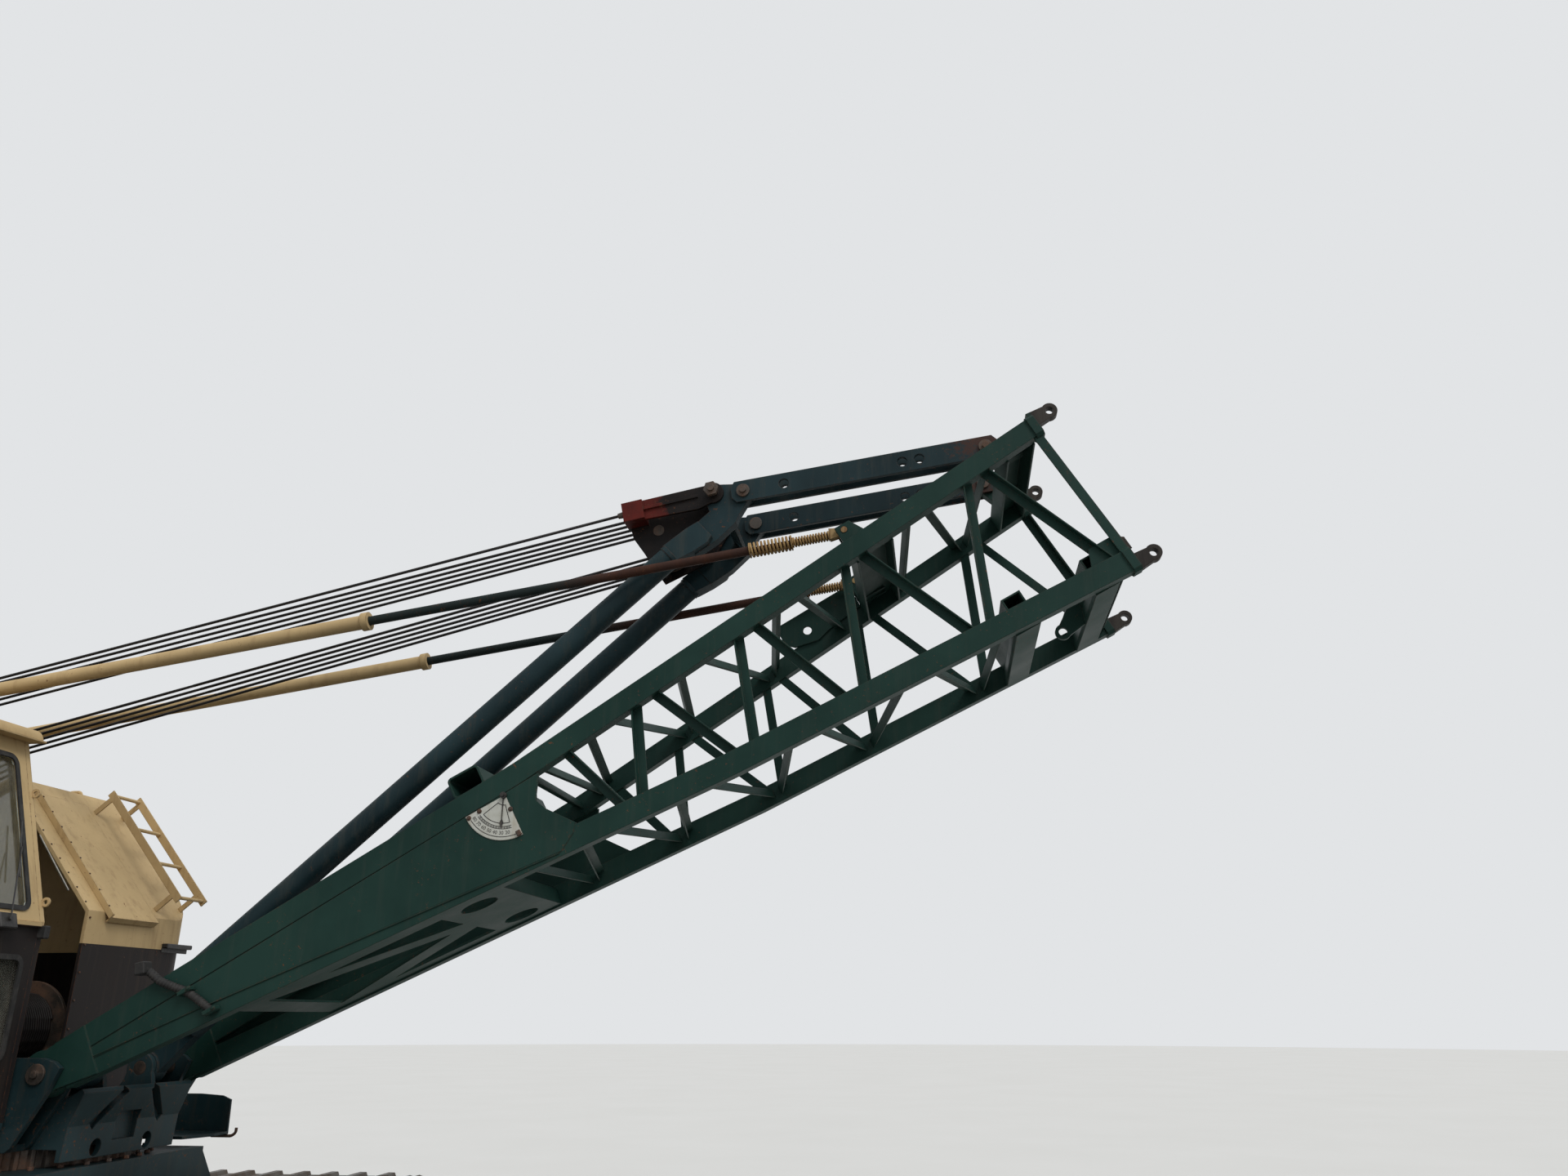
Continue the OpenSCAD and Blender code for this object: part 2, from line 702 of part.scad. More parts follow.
module house_right() color("#cbb083") {
    x0 = -cab_back_x - move_gap;
    translate([house_back_x, -half_house + wall_t, roof_z - wall_t])
        cube([x0 - house_back_x, half_house - wall_t - slot_half, wall_t]);
    slab(-half_house, -half_house + wall_t) difference() {
        house_side_outline(x0);
        grille_slots();
    }
    translate([x0 - wall_t, -half_house + wall_t, deck_z + seat_gap])
        cube([wall_t, half_house - wall_t - slot_half, roof_z - wall_t - deck_z - seat_gap]);
    // The exhaust pipe above the engine
    translate([-engine_back - 60, -engine_y, roof_z - 5]) difference() {
        cylinder(r = exhaust_r, h = exhaust_h);
        translate([0, 0, 20]) cylinder(r = exhaust_r - exhaust_t, h = exhaust_h);
    }
}

rear_roof_x = -2800;
engine_back = 1400;
engine_y = 1000;
engine_w = 560;
exhaust_r = 62;
exhaust_h = 330;
exhaust_t = 8;

module house_rear() color("#cbb083") {
    z0 = frame_z + 20 + weight_h;
    translate([house_back_x, -slot_half + seat_gap, roof_z - wall_t])
        cube([rear_roof_x - house_back_x, 2 * (slot_half - seat_gap), wall_t]);
    translate([house_back_x - wall_t - seat_gap, -half_house, z0 + seat_gap])
        cube([wall_t, house_w, roof_z - z0 - seat_gap]);
}

ladder_off = 190;
// Columns: place of a rail across the machine, its stand-off's lower place along the slope
ladder_rails = [[1040, 90], [1380, 120]];
rail_t = 12;
rail_w = 60;
rung_r = 14;
ladder_l = 1180;

module slope_ladder() color("#cbb083") {
    t = polar(1, 180 - slope_angle);
    n = [t[1], -t[0]];
    foot = [house_front_x, slope_z];
    for (r = ladder_rails) slab(r[0], r[0] + rail_t) {
        link_outline(foot + n * ladder_off + t * 20, foot + n * ladder_off + t * ladder_l, rail_w);
        for (s = [r[1], ladder_l - 50])
            link_outline(foot + n * (ladder_off + 10) + t * s, foot + n * seat_gap + t * s, 40);
    }
    for (i = [0:3])
        y_bar(foot + n * ladder_off + t * (50 + i * (ladder_l - 80) / 3), rung_r,
            ladder_rails[0][0] + 1, ladder_rails[1][0] + rail_t - 1);
}

wing_z0 = pin_z - 500;
wing_y = 1230;
wing_h = 280;

module wing_plate() color("#46585c") {
    y0 = outer_plate_y + bracket_t + 32 + seat_gap;
    translate([0, 0, wing_z0]) linear_extrude(20)
        polygon([[pin_x - 340, y0 + 60], [pin_x - 280, y0], [pin_x + 40, y0], [pin_x + 130, wing_y - 180],
            [pin_x + 130, wing_y], [pin_x - 340, wing_y]]);
    slab(wing_y - 16, wing_y) polygon([[pin_x - 340, wing_z0 + 5], [pin_x + 130, wing_z0 + 5],
        [pin_x + 122, wing_z0 + wing_h - 40], [pin_x + 50, wing_z0 + wing_h - 12],
        [pin_x - 130, wing_z0 + wing_h], [pin_x - 340, wing_z0 + wing_h]]);
}

// Machinery

module engine() color("#39423c")
    translate([-engine_back - engine_l, -engine_y - engine_w / 2, deck_z + seat_gap])
        cube([engine_l, engine_w, engine_h]);

// Columns: place of the shaft along X, barrel radius, flange radius
drums = [[-120, 230, 330], [-1150, 230, 380]];
drum_z = deck_z + 520;
drum_half = 470;
drum_shaft_r = 60;
stand_t = 50;

module hoist_drums() color("#4a4440") {
    for (d = drums) {
        y_bar([d[0], drum_z], d[1], -drum_half, drum_half);
        for (y = [-drum_half, drum_half - 30, -15]) y_bar([d[0], drum_z], d[2], y, y + 30);
        y_bar([d[0], drum_z], drum_shaft_r, -drum_half - 20 - stand_t, drum_half + 20 + stand_t);
    }
}

module drum_stands() color("#2f4647")
    both_sides() slab(drum_half + 20, drum_half + 20 + stand_t) difference() {
        union() {
            for (d = drums) polygon([[d[0] - 260, deck_z + seat_gap], [d[0] + 260, deck_z + seat_gap],
                [d[0] + 130, drum_z + 60], [d[0] - 130, drum_z + 60]]);
            translate([drums[1][0], deck_z + seat_gap]) square([drums[0][0] - drums[1][0], 160]);
        }
        for (d = drums) translate([d[0], drum_z]) circle(r = drum_shaft_r + seat_gap);
    }

// Cab

module cab_outline() {
    polygon([[-cab_back_x, deck_z + cab_t + 2 * seat_gap], [cab_front_x, deck_z + cab_t + 2 * seat_gap],
        [cab_front_x, cab_sill_z], [cab_rake_x, cab_top_z - seat_gap], [-cab_back_x, cab_top_z - seat_gap]]);
}

module cab_floor() color("#3b3532")
    translate([-cab_back_x, -cab_out_y, deck_z + seat_gap])
        cube([cab_front_x + cab_back_x, cab_out_y - cab_in_y, cab_t]);

window_z0 = cab_sill_z - 100;
window_z1 = cab_sill_z + 900;
corner_r = 60;
// Columns: low X, width of a side window
left_windows = [[-700, 370], [-190, 520]];
right_windows = [[-760, 360]];
loop_r = 30;
hinge_r = 12;
hinge_l = 90;
hinge_places = [door_z0 + 320, door_z1 - 390];

// The side windows, smaller by inset all round
module side_windows(table, inset) {
    for (w = table) translate([w[0] + inset, window_z0 + inset])
        rounded(w[1] - 2 * inset, window_z1 - window_z0 - 2 * inset, corner_r - inset);
}

// Draws in the plane of the raked front, across the cab and up along the rake
module at_rake(x0, x1) {
    translate([cab_front_x, 0, cab_sill_z]) rotate([0, -cab_rake, 0]) translate([x0, 0, 0])
        rotate([90, 0, 90]) linear_extrude(x1 - x0) children();
}

module cab_left() color("#cbb083") {
    slab(-cab_in_y - cab_t, -cab_in_y) difference() {
        cab_outline();
        side_windows(left_windows, 0);
    }
    // Lifting loops on the front edge
    for (s = [120, 860]) {
        p = [cab_front_x, cab_sill_z] + polar(s, 90 + cab_rake) + polar(loop_r - 6, cab_rake);
        slab(-cab_in_y - 12, -cab_in_y) difference() {
            translate(p) circle(r = loop_r);
            translate(p) circle(r = loop_r * 0.45);
        }
    }
}

module cab_right() color("#cbb083") {
    slab(-cab_out_y, -cab_out_y + cab_t) difference() {
        cab_outline();
        side_windows(right_windows, 0);
        translate([door_x0, door_z0]) square([door_x1 - door_x0, door_z1 - door_z0]);
    }
    // The fixed halves of the door's hinges
    for (z = hinge_places) translate([door_x0, -cab_out_y - hinge_r, z - hinge_l - 0.5]) {
        cylinder(r = hinge_r, h = hinge_l);
        translate([-60, hinge_r - 6, 0]) cube([60, 6 + cab_t / 2, hinge_l]);
    }
}

cab_in_half = [-cab_out_y + cab_t + seat_gap, -cab_in_y - cab_t - seat_gap];
cab_span = cab_in_half[1] - cab_in_half[0];
front_margin = 90;
rake_l = (cab_top_z - cab_sill_z) / cos(cab_rake);
sill_step = 70;
foot_window_z = deck_z + 350;
foot_window_h = 600;
back_window_z = cab_sill_z;
back_window_h = 700;
back_margin = 120;

module front_window(inset) {
    translate([cab_in_half[0] + front_margin + inset, sill_step + inset])
        rounded(cab_span - 2 * front_margin - 2 * inset, rake_l - sill_step - 130 - 2 * inset,
            corner_r - inset);
}

module foot_window(inset) {
    translate([cab_in_half[0] + front_margin + inset, foot_window_z + inset])
        rounded(cab_span - 2 * front_margin - 2 * inset, foot_window_h - 2 * inset, corner_r - inset);
}

module cab_front() color("#cbb083") difference() {
    union() {
        slab(cab_in_half[0], cab_in_half[1])
            polygon([[cab_front_x - cab_t, deck_z + cab_t + 2 * seat_gap],
                [cab_front_x, deck_z + cab_t + 2 * seat_gap], [cab_front_x, cab_sill_z],
                [cab_rake_x, cab_top_z - seat_gap], [cab_rake_x - cab_t, cab_top_z - seat_gap],
                [cab_front_x - cab_t, cab_sill_z]]);
        // The rail under the window
        slab(cab_in_half[0], cab_in_half[1]) translate([cab_front_x - 5, cab_sill_z - 36]) square([27, 30]);
    }
    at_rake(-80, 50) front_window(0);
    translate([cab_front_x - 60, 0, 0]) rotate([90, 0, 90]) linear_extrude(120) foot_window(0);
}

module back_window(inset) {
    translate([cab_in_half[0] + back_margin + inset, back_window_z + inset])
        rounded(cab_span - 2 * back_margin - 2 * inset, back_window_h - 2 * inset, corner_r - inset);
}

module cab_back() color("#cbb083") difference() {
    translate([-cab_back_x, cab_in_half[0], deck_z + cab_t + 2 * seat_gap])
        cube([cab_t, cab_span, cab_top_z - deck_z - cab_t - 3 * seat_gap]);
    translate([-cab_back_x - 1, 0, 0]) rotate([90, 0, 90]) linear_extrude(cab_t + 2) back_window(0);
}

module cab_roof() color("#cbb083") {
    slab(-cab_out_y - 20, -cab_in_y + 20) {
        translate([-cab_back_x, cab_top_z]) square([cab_rake_x + cab_back_x, cab_roof_t]);
        translate([cab_rake_x, cab_top_z]) difference() {
            circle(r = cab_roof_t);
            translate([-200, -200]) square([400, 200]);
        }
    }
    // The drip rail round the roof's foot
    translate([-cab_back_x, -cab_out_y - 34, cab_top_z])
        cube([cab_rake_x + cab_roof_t + 14 + cab_back_x, cab_out_y - cab_in_y + 68, 12]);
}

module cab_glass() color("#6f7d80", 0.4) {
    slab(-cab_in_y - cab_t / 2, -cab_in_y - cab_t / 2 + glass_t) side_windows(left_windows, seat_gap);
    slab(-cab_out_y + cab_t / 2, -cab_out_y + cab_t / 2 + glass_t) side_windows(right_windows, seat_gap);
    at_rake(-cab_t / 2 - glass_t, -cab_t / 2) front_window(seat_gap);
    translate([cab_front_x - cab_t / 2, 0, 0]) rotate([90, 0, 90]) linear_extrude(glass_t)
        foot_window(seat_gap);
    translate([-cab_back_x + cab_t / 2, 0, 0]) rotate([90, 0, 90]) linear_extrude(glass_t)
        back_window(seat_gap);
}

seat_mid_y = -(cab_in_y + cab_out_y) / 2;
cushion_z = 330;
cushion_t = 110;
cushion_w = 460;
back_h = 560;
console_h = 420;
lever_r = 11;
lever_h = 420;

module cab_seat() color("#2a2826") translate([-260, seat_mid_y, deck_z + cab_t + 2 * seat_gap]) {
    translate([-120, -110, 0]) cube([240, 220, cushion_z]);
    translate([-250, -cushion_w / 2, cushion_z]) cube([500, cushion_w, cushion_t]);
    translate([-300, -cushion_w / 2, cushion_z + 70]) cube([110, cushion_w, back_h]);
}

module cab_controls() color("#2a2826") translate([330, seat_mid_y, deck_z + cab_t + 2 * seat_gap]) {
    translate([-60, -240, 0]) cube([180, 480, console_h]);
    for (y = [-180:90:180])
        translate([30, y, console_h - 5]) rotate([0, -12, 0]) cylinder(r = lever_r, h = lever_h);
}

door_gap = 6;
door_margin = 90;

module door_outline() {
    translate([door_x0 + door_gap, door_z0 + door_gap])
        square([door_x1 - door_x0 - 2 * door_gap, door_z1 - door_z0 - 2 * door_gap]);
}

module door_window(inset) {
    translate([door_x0 + door_margin + inset, window_z0 + inset])
        rounded(door_x1 - door_x0 - 2 * door_margin - 2 * inset, door_z1 - 100 - window_z0 - 2 * inset,
            corner_r - inset);
}

module cab_door() color("#cbb083") {
    slab(-cab_out_y, -cab_out_y + cab_t) difference() {
        door_outline();
        door_window(0);
    }
    // The moving halves of the hinges
    for (z = hinge_places) translate([door_x0, -cab_out_y - hinge_r, z]) {
        cylinder(r = hinge_r, h = hinge_l);
        translate([0, hinge_r - 6, 0]) cube([80, 6, hinge_l]);
    }
}

module cab_door_glass() color("#6f7d80", 0.4)
    slab(-cab_out_y + cab_t / 2, -cab_out_y + cab_t / 2 + glass_t) door_window(seat_gap);

// Boom

module chord_outline(edge, depth) {
    n = len(edge);
    polygon(concat([for (p = edge) p], [for (i = [n - 1:-1:0]) edge[i] - [0, depth]]));
}

// Half distance between two lacing angles where they meet on a chord
node_off = 46;

module side_angle(a, b) {
    strut([a[0], side_y, a[1]], [b[0], side_y, b[1]]) angle_outline();
}

// The shaped end of the side plate
web_nose = [[web_end + 6, -99], [web_end - 24, -26], [web_end - 9, 14]];
facing_t = 4;
foot_l = 330;

module boom_side() {
    n = len(top_nodes);
    difference() {
        union() {
            slab(chord_in, chord_out) chord_outline(top_edge, chord_top_d);
            slab(chord_in, chord_out) chord_outline([for (p = low_edge) p + [0, chord_low_d]], chord_low_d);
            // The side plate, and its facing that stops short of the upper chord
            slab(chord_out - web_t - 6, chord_out - 6)
                polygon(concat([[0, 120], [0, -140], low_mid(web_end + 140),
                    [web_end + 140, edge_z(low_edge, web_end) + chord_low_d]], web_nose,
                    [top_mid(web_end + 90)]));
            slab(chord_out - web_t - 6, chord_out + facing_t)
                polygon(concat([[foot_l, top_mid(foot_l)[1] - 80], [foot_l, -72], [1018, -125],
                    [web_end - 13, -395], [web_end + 100, -330],
                    [web_end + 140, edge_z(low_edge, web_end) + chord_low_d]], web_nose,
                    [[web_end + 60, top_mid(web_end + 60)[1] - 80]]));
            // The foot
            slab(side_y - foot_half, side_y + foot_half) {
                circle(r = foot_r);
                polygon([[0, foot_r * 0.85], [foot_l, 143], [foot_l, -172], [0, -foot_r * 0.85]]);
            }
            for (i = [0:n - 1]) {
                side_angle(top_mid(top_nodes[i] + node_off), low_mid(low_nodes[i] - node_off));
                side_angle(low_mid(low_nodes[i] + node_off),
                    top_mid(i < n - 1 ? top_nodes[i + 1] - node_off : boom_l - 170));
            }
            // The gusset where the end post meets the lower chord
            z = edge_z(low_edge, boom_l - 300) + chord_low_d;
            slab(chord_out - 22, chord_out - 2) polygon([[boom_l - 350, z - 15], [boom_l - 365, z + 52],
                [boom_l - 300, z + 87], [boom_l - 140, z + 87], [boom_l - 131, z - 15]]);
            tip_lugs();
        }
        y_bar([0, 0], pin_r + run_gap, 0, 2 * side_y);
        for (side = [-1, 1]) y_bar([boom_l, side * tip_half], tip_bore_r, 0, 2 * side_y);
    }
}

lug_r = 54;
collar_w = 14;
collar_l = 60;

module tip_lugs() {
    u = boom_l - 180;
    for (side = [-1, 1]) {
        z = side * tip_half;
        slab(side_y - tip_lug_w / 2, side_y + tip_lug_w / 2) {
            translate([boom_l, z]) circle(r = lug_r);
            polygon([[boom_l - 150, z - 60], [boom_l, z - lug_r * 0.85], [boom_l, z + lug_r * 0.85],
                [boom_l - 150, z + 60]]);
        }
        // The eight-sided collar at the chord's end
        edge = side > 0 ? edge_z(top_edge, u) - chord_top_d : edge_z(low_edge, u);
        depth = side > 0 ? chord_top_d : chord_low_d;
        translate([u, chord_in - collar_w, edge - collar_w]) rotate([90, 0, 90]) linear_extrude(collar_l)
            chamfered(chord_w + 2 * collar_w, depth + 2 * collar_w, 22);
    }
}

// A rectangle with cut corners, from its lower left corner
module chamfered(w, h, c) {
    polygon([[c, 0], [w - c, 0], [w, c], [w, h - c], [w - c, h], [c, h], [0, h - c], [0, c]]);
}

module boom_side_left() color("#1f4335") at_boom() boom_side();
module boom_side_right() color("#1f4335") at_boom() mirror([0, 1, 0]) boom_side();

// A zigzag of angles between the two side frames, in the plane of the chords
module cross_lacing(places, top, first) {
    function mid(u) = top ? top_mid(u) : low_mid(u);
    intersection() {
        for (i = [0:len(places) - 2]) {
            s = i % 2 == 0 ? first : -first;
            a = mid(places[i] + node_off);
            b = mid(places[i + 1] - node_off);
            strut([a[0], s * side_y, a[1]], [b[0], -s * side_y, b[1]]) angle_outline();
        }
        translate([0, -chord_in, -2000]) cube([boom_l, 2 * chord_in, 4000]);
    }
}

// A straight angle between the two side frames
module cross_angle(p) {
    strut([p[0], -chord_in, p[1]], [p[0], chord_in, p[1]]) angle_outline();
}

module boom_top_lacing() color("#1f4335") at_boom() {
    cross_angle(top_mid(top_zigzag[0] - node_off));
    cross_lacing(top_zigzag, true, -1);
    cross_lacing(tip_zigzag, true, 1);
}

under_t = 16;
under_slope = atan2(low_edge[0][1] - low_edge[1][1], low_edge[1][0] - low_edge[0][0]);

// The plates under the butt, drawn along the boom and across it
module under_plan() {
    difference() {
        intersection() {
            translate([0, -chord_in]) square([boom_l, 2 * chord_in]);
            under_parts();
        }
        for (side = [-1, 1]) translate([2770, side * 400]) circle(r = 120);
    }
}

module under_parts() {
    translate([2540, -chord_in]) square([450, 2 * chord_in]);
    for (side = [-1, 1]) link_outline([2600, 0], [1400, side * (chord_in - 60)], 170);
    translate([1190, -chord_in]) square([150, 2 * chord_in]);
    for (side = [-1, 1]) translate([1190, side > 0 ? chord_in - 130 : -chord_in]) square([1400, 130]);
}

module boom_bottom_lacing() color("#1f4335") at_boom() {
    cross_lacing(low_zigzag, false, -1);
    cross_angle(low_mid(boom_l - 220));
    translate([low_edge[0][0], 0, low_edge[0][1] + 12]) rotate([0, under_slope, 0]) {
        translate([-low_edge[0][0], 0, 0]) linear_extrude(under_t) under_plan();
        // The upturned edge at the plates' outer end
        translate([2990 - low_edge[0][0], -chord_in, 0]) cube([under_t, 2 * chord_in, 120]);
    }
}

channel_t = 14;

// A deep channel across the boom between the upper chords, open below
module cross_channel(u0, u1, depth) {
    z0 = edge_z(top_edge, u0);
    z1 = edge_z(top_edge, u1);
    slab(-chord_in, chord_in) difference() {
        polygon([[u0, z0 - channel_t], [u1, z1 - channel_t], [u1, z1 - depth], [u0, z0 - depth]]);
        polygon([[u0 + channel_t, z0 - 2 * channel_t], [u1 - channel_t, z1 - 2 * channel_t],
            [u1 - channel_t, z1 - depth - 10], [u0 + channel_t, z0 - depth - 10]]);
    }
}

link_channel = [link_foot[0] - 13, link_foot[0] + 218];
stop_channel = [stop_eye[0] - 50, stop_eye[0] + 240];
stop_pin_r = 22;
stop_gusset_y = chord_in - 20;

module boom_bulkheads() color("#1d3a30") at_boom() {
    link_top = edge_z(top_edge, link_channel[0]) - 30;
    // The channel that carries the link bars, with an ear for each pair
    cross_channel(link_channel[0], link_channel[1], chord_top_d + 10);
    both_sides() slab(ear_y - ear_t / 2, ear_y + ear_t / 2) difference() {
        union() {
            polygon([[link_channel[0] + 2, link_top], [link_channel[1] - 2, link_top],
                link_foot + [70, 20], link_foot + [-68, 10]]);
            translate(link_foot) circle(r = 75);
        }
        translate(link_foot) circle(r = link_pin_r + run_gap);
    }
    // The channel that carries the backstops, with two plates for each
    stop_top = edge_z(top_edge, stop_channel[0]) - 30;
    cross_channel(stop_channel[0], stop_channel[1], chord_top_d + 10);
    both_sides() for (y = [[stop_y + 38, stop_y + 62], [stop_y - 62, stop_y - 38]])
        slab(y[0], y[1]) difference() {
            polygon([[stop_channel[0] + 2, stop_top], [stop_eye[0] + 170, stop_top],
                stop_eye + [60, 42], stop_eye + [-52, 42]]);
            translate(stop_eye) circle(r = stop_pin_r + run_gap);
        }
    // The plate on the left chord's inner side, with its hole
    slab(stop_gusset_y, chord_in) difference() {
        polygon([[5360, 655], [5337, 600], [5337, 500], [5393, 445], [5574, 405], [5678, 435],
            [stop_channel[0] + 4, 480], [stop_channel[0] + 4, 560], [5934, 672]]);
        translate([5539, 515]) circle(r = 33);
    }
}

rest_l = 220;

module mast_rest() color("#1d3a30") at_boom() slab(-chord_in - 40, chord_in + 40)
    translate([rest_u, edge_z(top_edge, rest_u + rest_l) + seat_gap]) difference() {
        rounded(rest_l, rest_h, 30);
        translate([14, 14]) rounded(rest_l - 28, rest_h - 28, 18);
    }

dial_corner = [3275, 105];

module angle_indicator() color("#e6e2d3") at_boom()
    slab(-chord_out - facing_t - seat_gap - 5, -chord_out - facing_t - seat_gap)
        translate(dial_corner) intersection() {
            circle(r = dial_r);
            polygon([[0, -18], [-18, 0], [-dial_r, 0], [-dial_r, -dial_r], [0, -dial_r]]);
        }

beam_w = 140;
beam_wall = 12;

module chord_sockets() color("#1d3a30") at_boom() {
    half = chord_in - seat_gap;
    for (u = beam_places) {
        top = edge_z(low_edge, u) + chord_low_d + 100;
        low = edge_z(low_edge, u) - 8;
        slab(-half, half) difference() {
            polygon([[u, top], [u + beam_w, top], [u + beam_w, low], [u - 40, low], [u - 40, low + 30],
                [u, low + 110]]);
            translate([u + beam_wall, low + beam_wall])
                square([beam_w - 2 * beam_wall, top - low - 2 * beam_wall]);
        }
    }
    // The eye plate behind the outer beam
    p = [beam_places[1] - 200, edge_z(low_edge, beam_places[1]) + 30];
    slab(-15, 15) difference() {
        union() {
            polygon([[beam_places[1] + 4, p[1] + 190], [beam_places[1] + 4, p[1] - 20],
                [p[0], p[1] - 50], [p[0] - 44, p[1] + 22]]);
            translate(p) circle(r = 54);
        }
        translate(p) circle(r = 30);
    }
}

// Mast and stays

mast_foot_r = 105;
head_u = mast_l - 690;

module mast() color("#28413f") at_mast() {
    foot_y0 = mast_y - mast_foot_half;
    ear_y0 = ear_y - ear_t / 2;
    both_sides() difference() {
        union() {
            y_bar([0, 0], mast_foot_r, foot_y0, foot_y0 + 2 * mast_foot_half);
            slab(mast_y - 45, mast_y + 45)
                polygon([[0, -mast_foot_r * 0.9], [420, -70], [420, 70], [0, mast_foot_r * 0.9]]);
            translate([380, mast_y, 0]) rotate([0, 90, 0]) cylinder(r = mast_r, h = head_u - 376);
            // The weld ring and the cast head with its two ears
            translate([head_u - 20, mast_y, 0]) rotate([0, 90, 0]) cylinder(r = mast_r + 6, h = 30);
            slab(ear_y0 + 4, mast_y + 62) polygon([[head_u, -mast_r * 0.9], [head_u + 130, -110],
                [head_u + 250, -128], [head_u + 300, -110], [head_u + 300, 40], [head_u + 200, 60],
                [head_u, mast_r * 0.9]]);
            slab(ear_y0, ear_y0 + ear_t) {
                polygon([[head_u + 130, -117], [head_u + 310, -143], [mast_l - 191, -136],
                    [mast_l - 150, -112], [mast_l - 40, -76], [mast_l, -77], [mast_l + 20, 70],
                    [bridle_pin[0] + 66, bridle_pin[1] + 36], [bridle_pin[0] - 62, bridle_pin[1] + 44],
                    [bridle_pin[0] - 110, 62], [head_u + 130, 62]]);
                translate([mast_l, 0]) circle(r = 80);
                translate(bridle_pin) circle(r = 80);
            }
        }
        y_bar([0, 0], pin_r + run_gap, 0, 2 * mast_y);
        y_bar([mast_l, 0], link_pin_r + run_gap, 0, 2 * mast_y);
        y_bar(bridle_pin, bridle_pin_r + run_gap, 0, 2 * mast_y);
    }
    // The cross plate with its two holes, and the tube low between the legs
    difference() {
        translate([mast_l - 220, -ear_y0 - 2, -132]) cube([24, 2 * ear_y0 + 4, 136]);
        for (y = [-150, 150]) translate([mast_l - 230, y, -66]) rotate([0, 90, 0]) cylinder(r = 34, h = 50);
    }
    y_bar([1500, 0], 50, -mast_y, mast_y);
}

function from_boom(p) =
    let (r = norm(p), a = atan2(p[1], p[0]) + boom_angle - mast_angle) polar(r, a);

// A bar with chamfered ends, running past both of its pins
module link_bar_outline(a, b) {
    t = (b - a) / norm(b - a);
    n = [-t[1], t[0]] * link_d / 2;
    over = link_d * 0.55;
    cut = link_d * 0.2;
    polygon([a - t * over - n * 0.5, a - t * (over - cut) - n, b + t * (over - cut) - n,
        b + t * over - n * 0.5, b + t * over + n * 0.5, b + t * (over - cut) + n,
        a - t * (over - cut) + n, a - t * over + n * 0.5]);
}

hole_r = 36;

module link_bars() color("#28413f") at_mast() {
    a = [mast_l, 0];
    b = from_boom(link_foot);
    half = ear_t / 2 + run_gap;
    both_sides() for (y = [ear_y - half - link_t, ear_y + half])
        difference() {
            slab(y, y + link_t) link_bar_outline(a, b);
            for (p = [a, b]) y_bar(p, link_pin_r + seat_gap, 0, 2 * mast_y);
            for (s = [0.17, 0.66, 0.73]) y_bar(a + (b - a) * s, hole_r, 0, 2 * mast_y);
        }
}

module link_pins() color("#5a4a3c") at_mast() {
    half = ear_t / 2 + run_gap + link_t + seat_gap;
    both_sides() for (p = [[mast_l, 0], from_boom(link_foot)]) {
        y_bar(p, link_pin_r, ear_y - half - 2, ear_y + half + 2);
        for (y = [ear_y + half, ear_y - half - 14]) y_bar(p, link_pin_r + 14, y, y + 14);
        y_bar(p, link_pin_r * 0.7, ear_y + half, ear_y + half + 34);
    }
}

bridle_tilt = 11;
bridle_back = 660;
arm_t = 22;
arm_y = ear_y + ear_t / 2 + 1;
cheek_y = 205;
// The sheaves' shaft in the bridle's own frame
bridle_axis = [-450, -130];

// The bridle's own frame: its pin at the origin, its sheaves along -X
module at_bridle() {
    p = polar(norm(bridle_pin), atan2(bridle_pin[1], bridle_pin[0]) + mast_angle);
    translate([pin_x + p[0], 0, pin_z + p[1]]) rotate([0, -bridle_tilt, 0]) children();
}

module bridle() color("#7d3428") at_bridle() {
    both_sides() {
        difference() {
            union() {
                // The arm outside the mast's ear, with a rib along it
                slab(arm_y, arm_y + arm_t) {
                    circle(r = 78);
                    polygon([[0, 66], [-bridle_back, 66], [-bridle_back, -76], [-120, -100], [0, -66]]);
                }
                slab(arm_y, arm_y + arm_t + 16) polygon([[-110, 10], [-bridle_back + 10, 10],
                    [-bridle_back + 10, -14], [-110, -14]]);
                // The cheek plate inside the mast's legs
                slab(cheek_y, cheek_y + arm_t) {
                    circle(r = 60);
                    polygon([[0, 52], [-bridle_back, 66], [-640, -150], [-540, -370], [-150, -270],
                        [40, -40]]);
                }
                // The box at the arm's end
                slab(cheek_y, arm_y + arm_t + 22) polygon([[-bridle_back - 2, 68], [-bridle_back + 150, 68],
                    [-bridle_back + 150, -78], [-bridle_back - 2, -78]]);
            }
            y_bar(bridle_axis, 40 + seat_gap, 0, cheek_y + arm_t + 1);
        }
    }
    y_bar([0, 0], bridle_pin_r, -arm_y - arm_t - 16, arm_y + arm_t + 16);
    // Spacers between the two cheek plates
    for (p = [[-200, -230], [-500, -325]]) y_bar(p, 22, -cheek_y - 2, cheek_y + 2);
}

module bridle_sheaves() color("#2f2b29") at_bridle() translate([bridle_axis[0], 0, bridle_axis[1]])
    sheave_row(bridle_sheave_r - 10, 78, 54, 40, cheek_y + arm_t);

// Backstops, from the eye on the boom back to the eye beside the gantry
module at_stop() {
    p = polar(norm(stop_eye), atan2(stop_eye[1], stop_eye[0]) + boom_angle);
    translate([pin_x + p[0], 0, pin_z + p[1]]) rotate([0, -stop_angle, 0]) children();
}

module x_bar(x0, x1, r) {
    translate([x0, 0, 0]) rotate([0, 90, 0]) cylinder(r = r, h = x1 - x0);
}

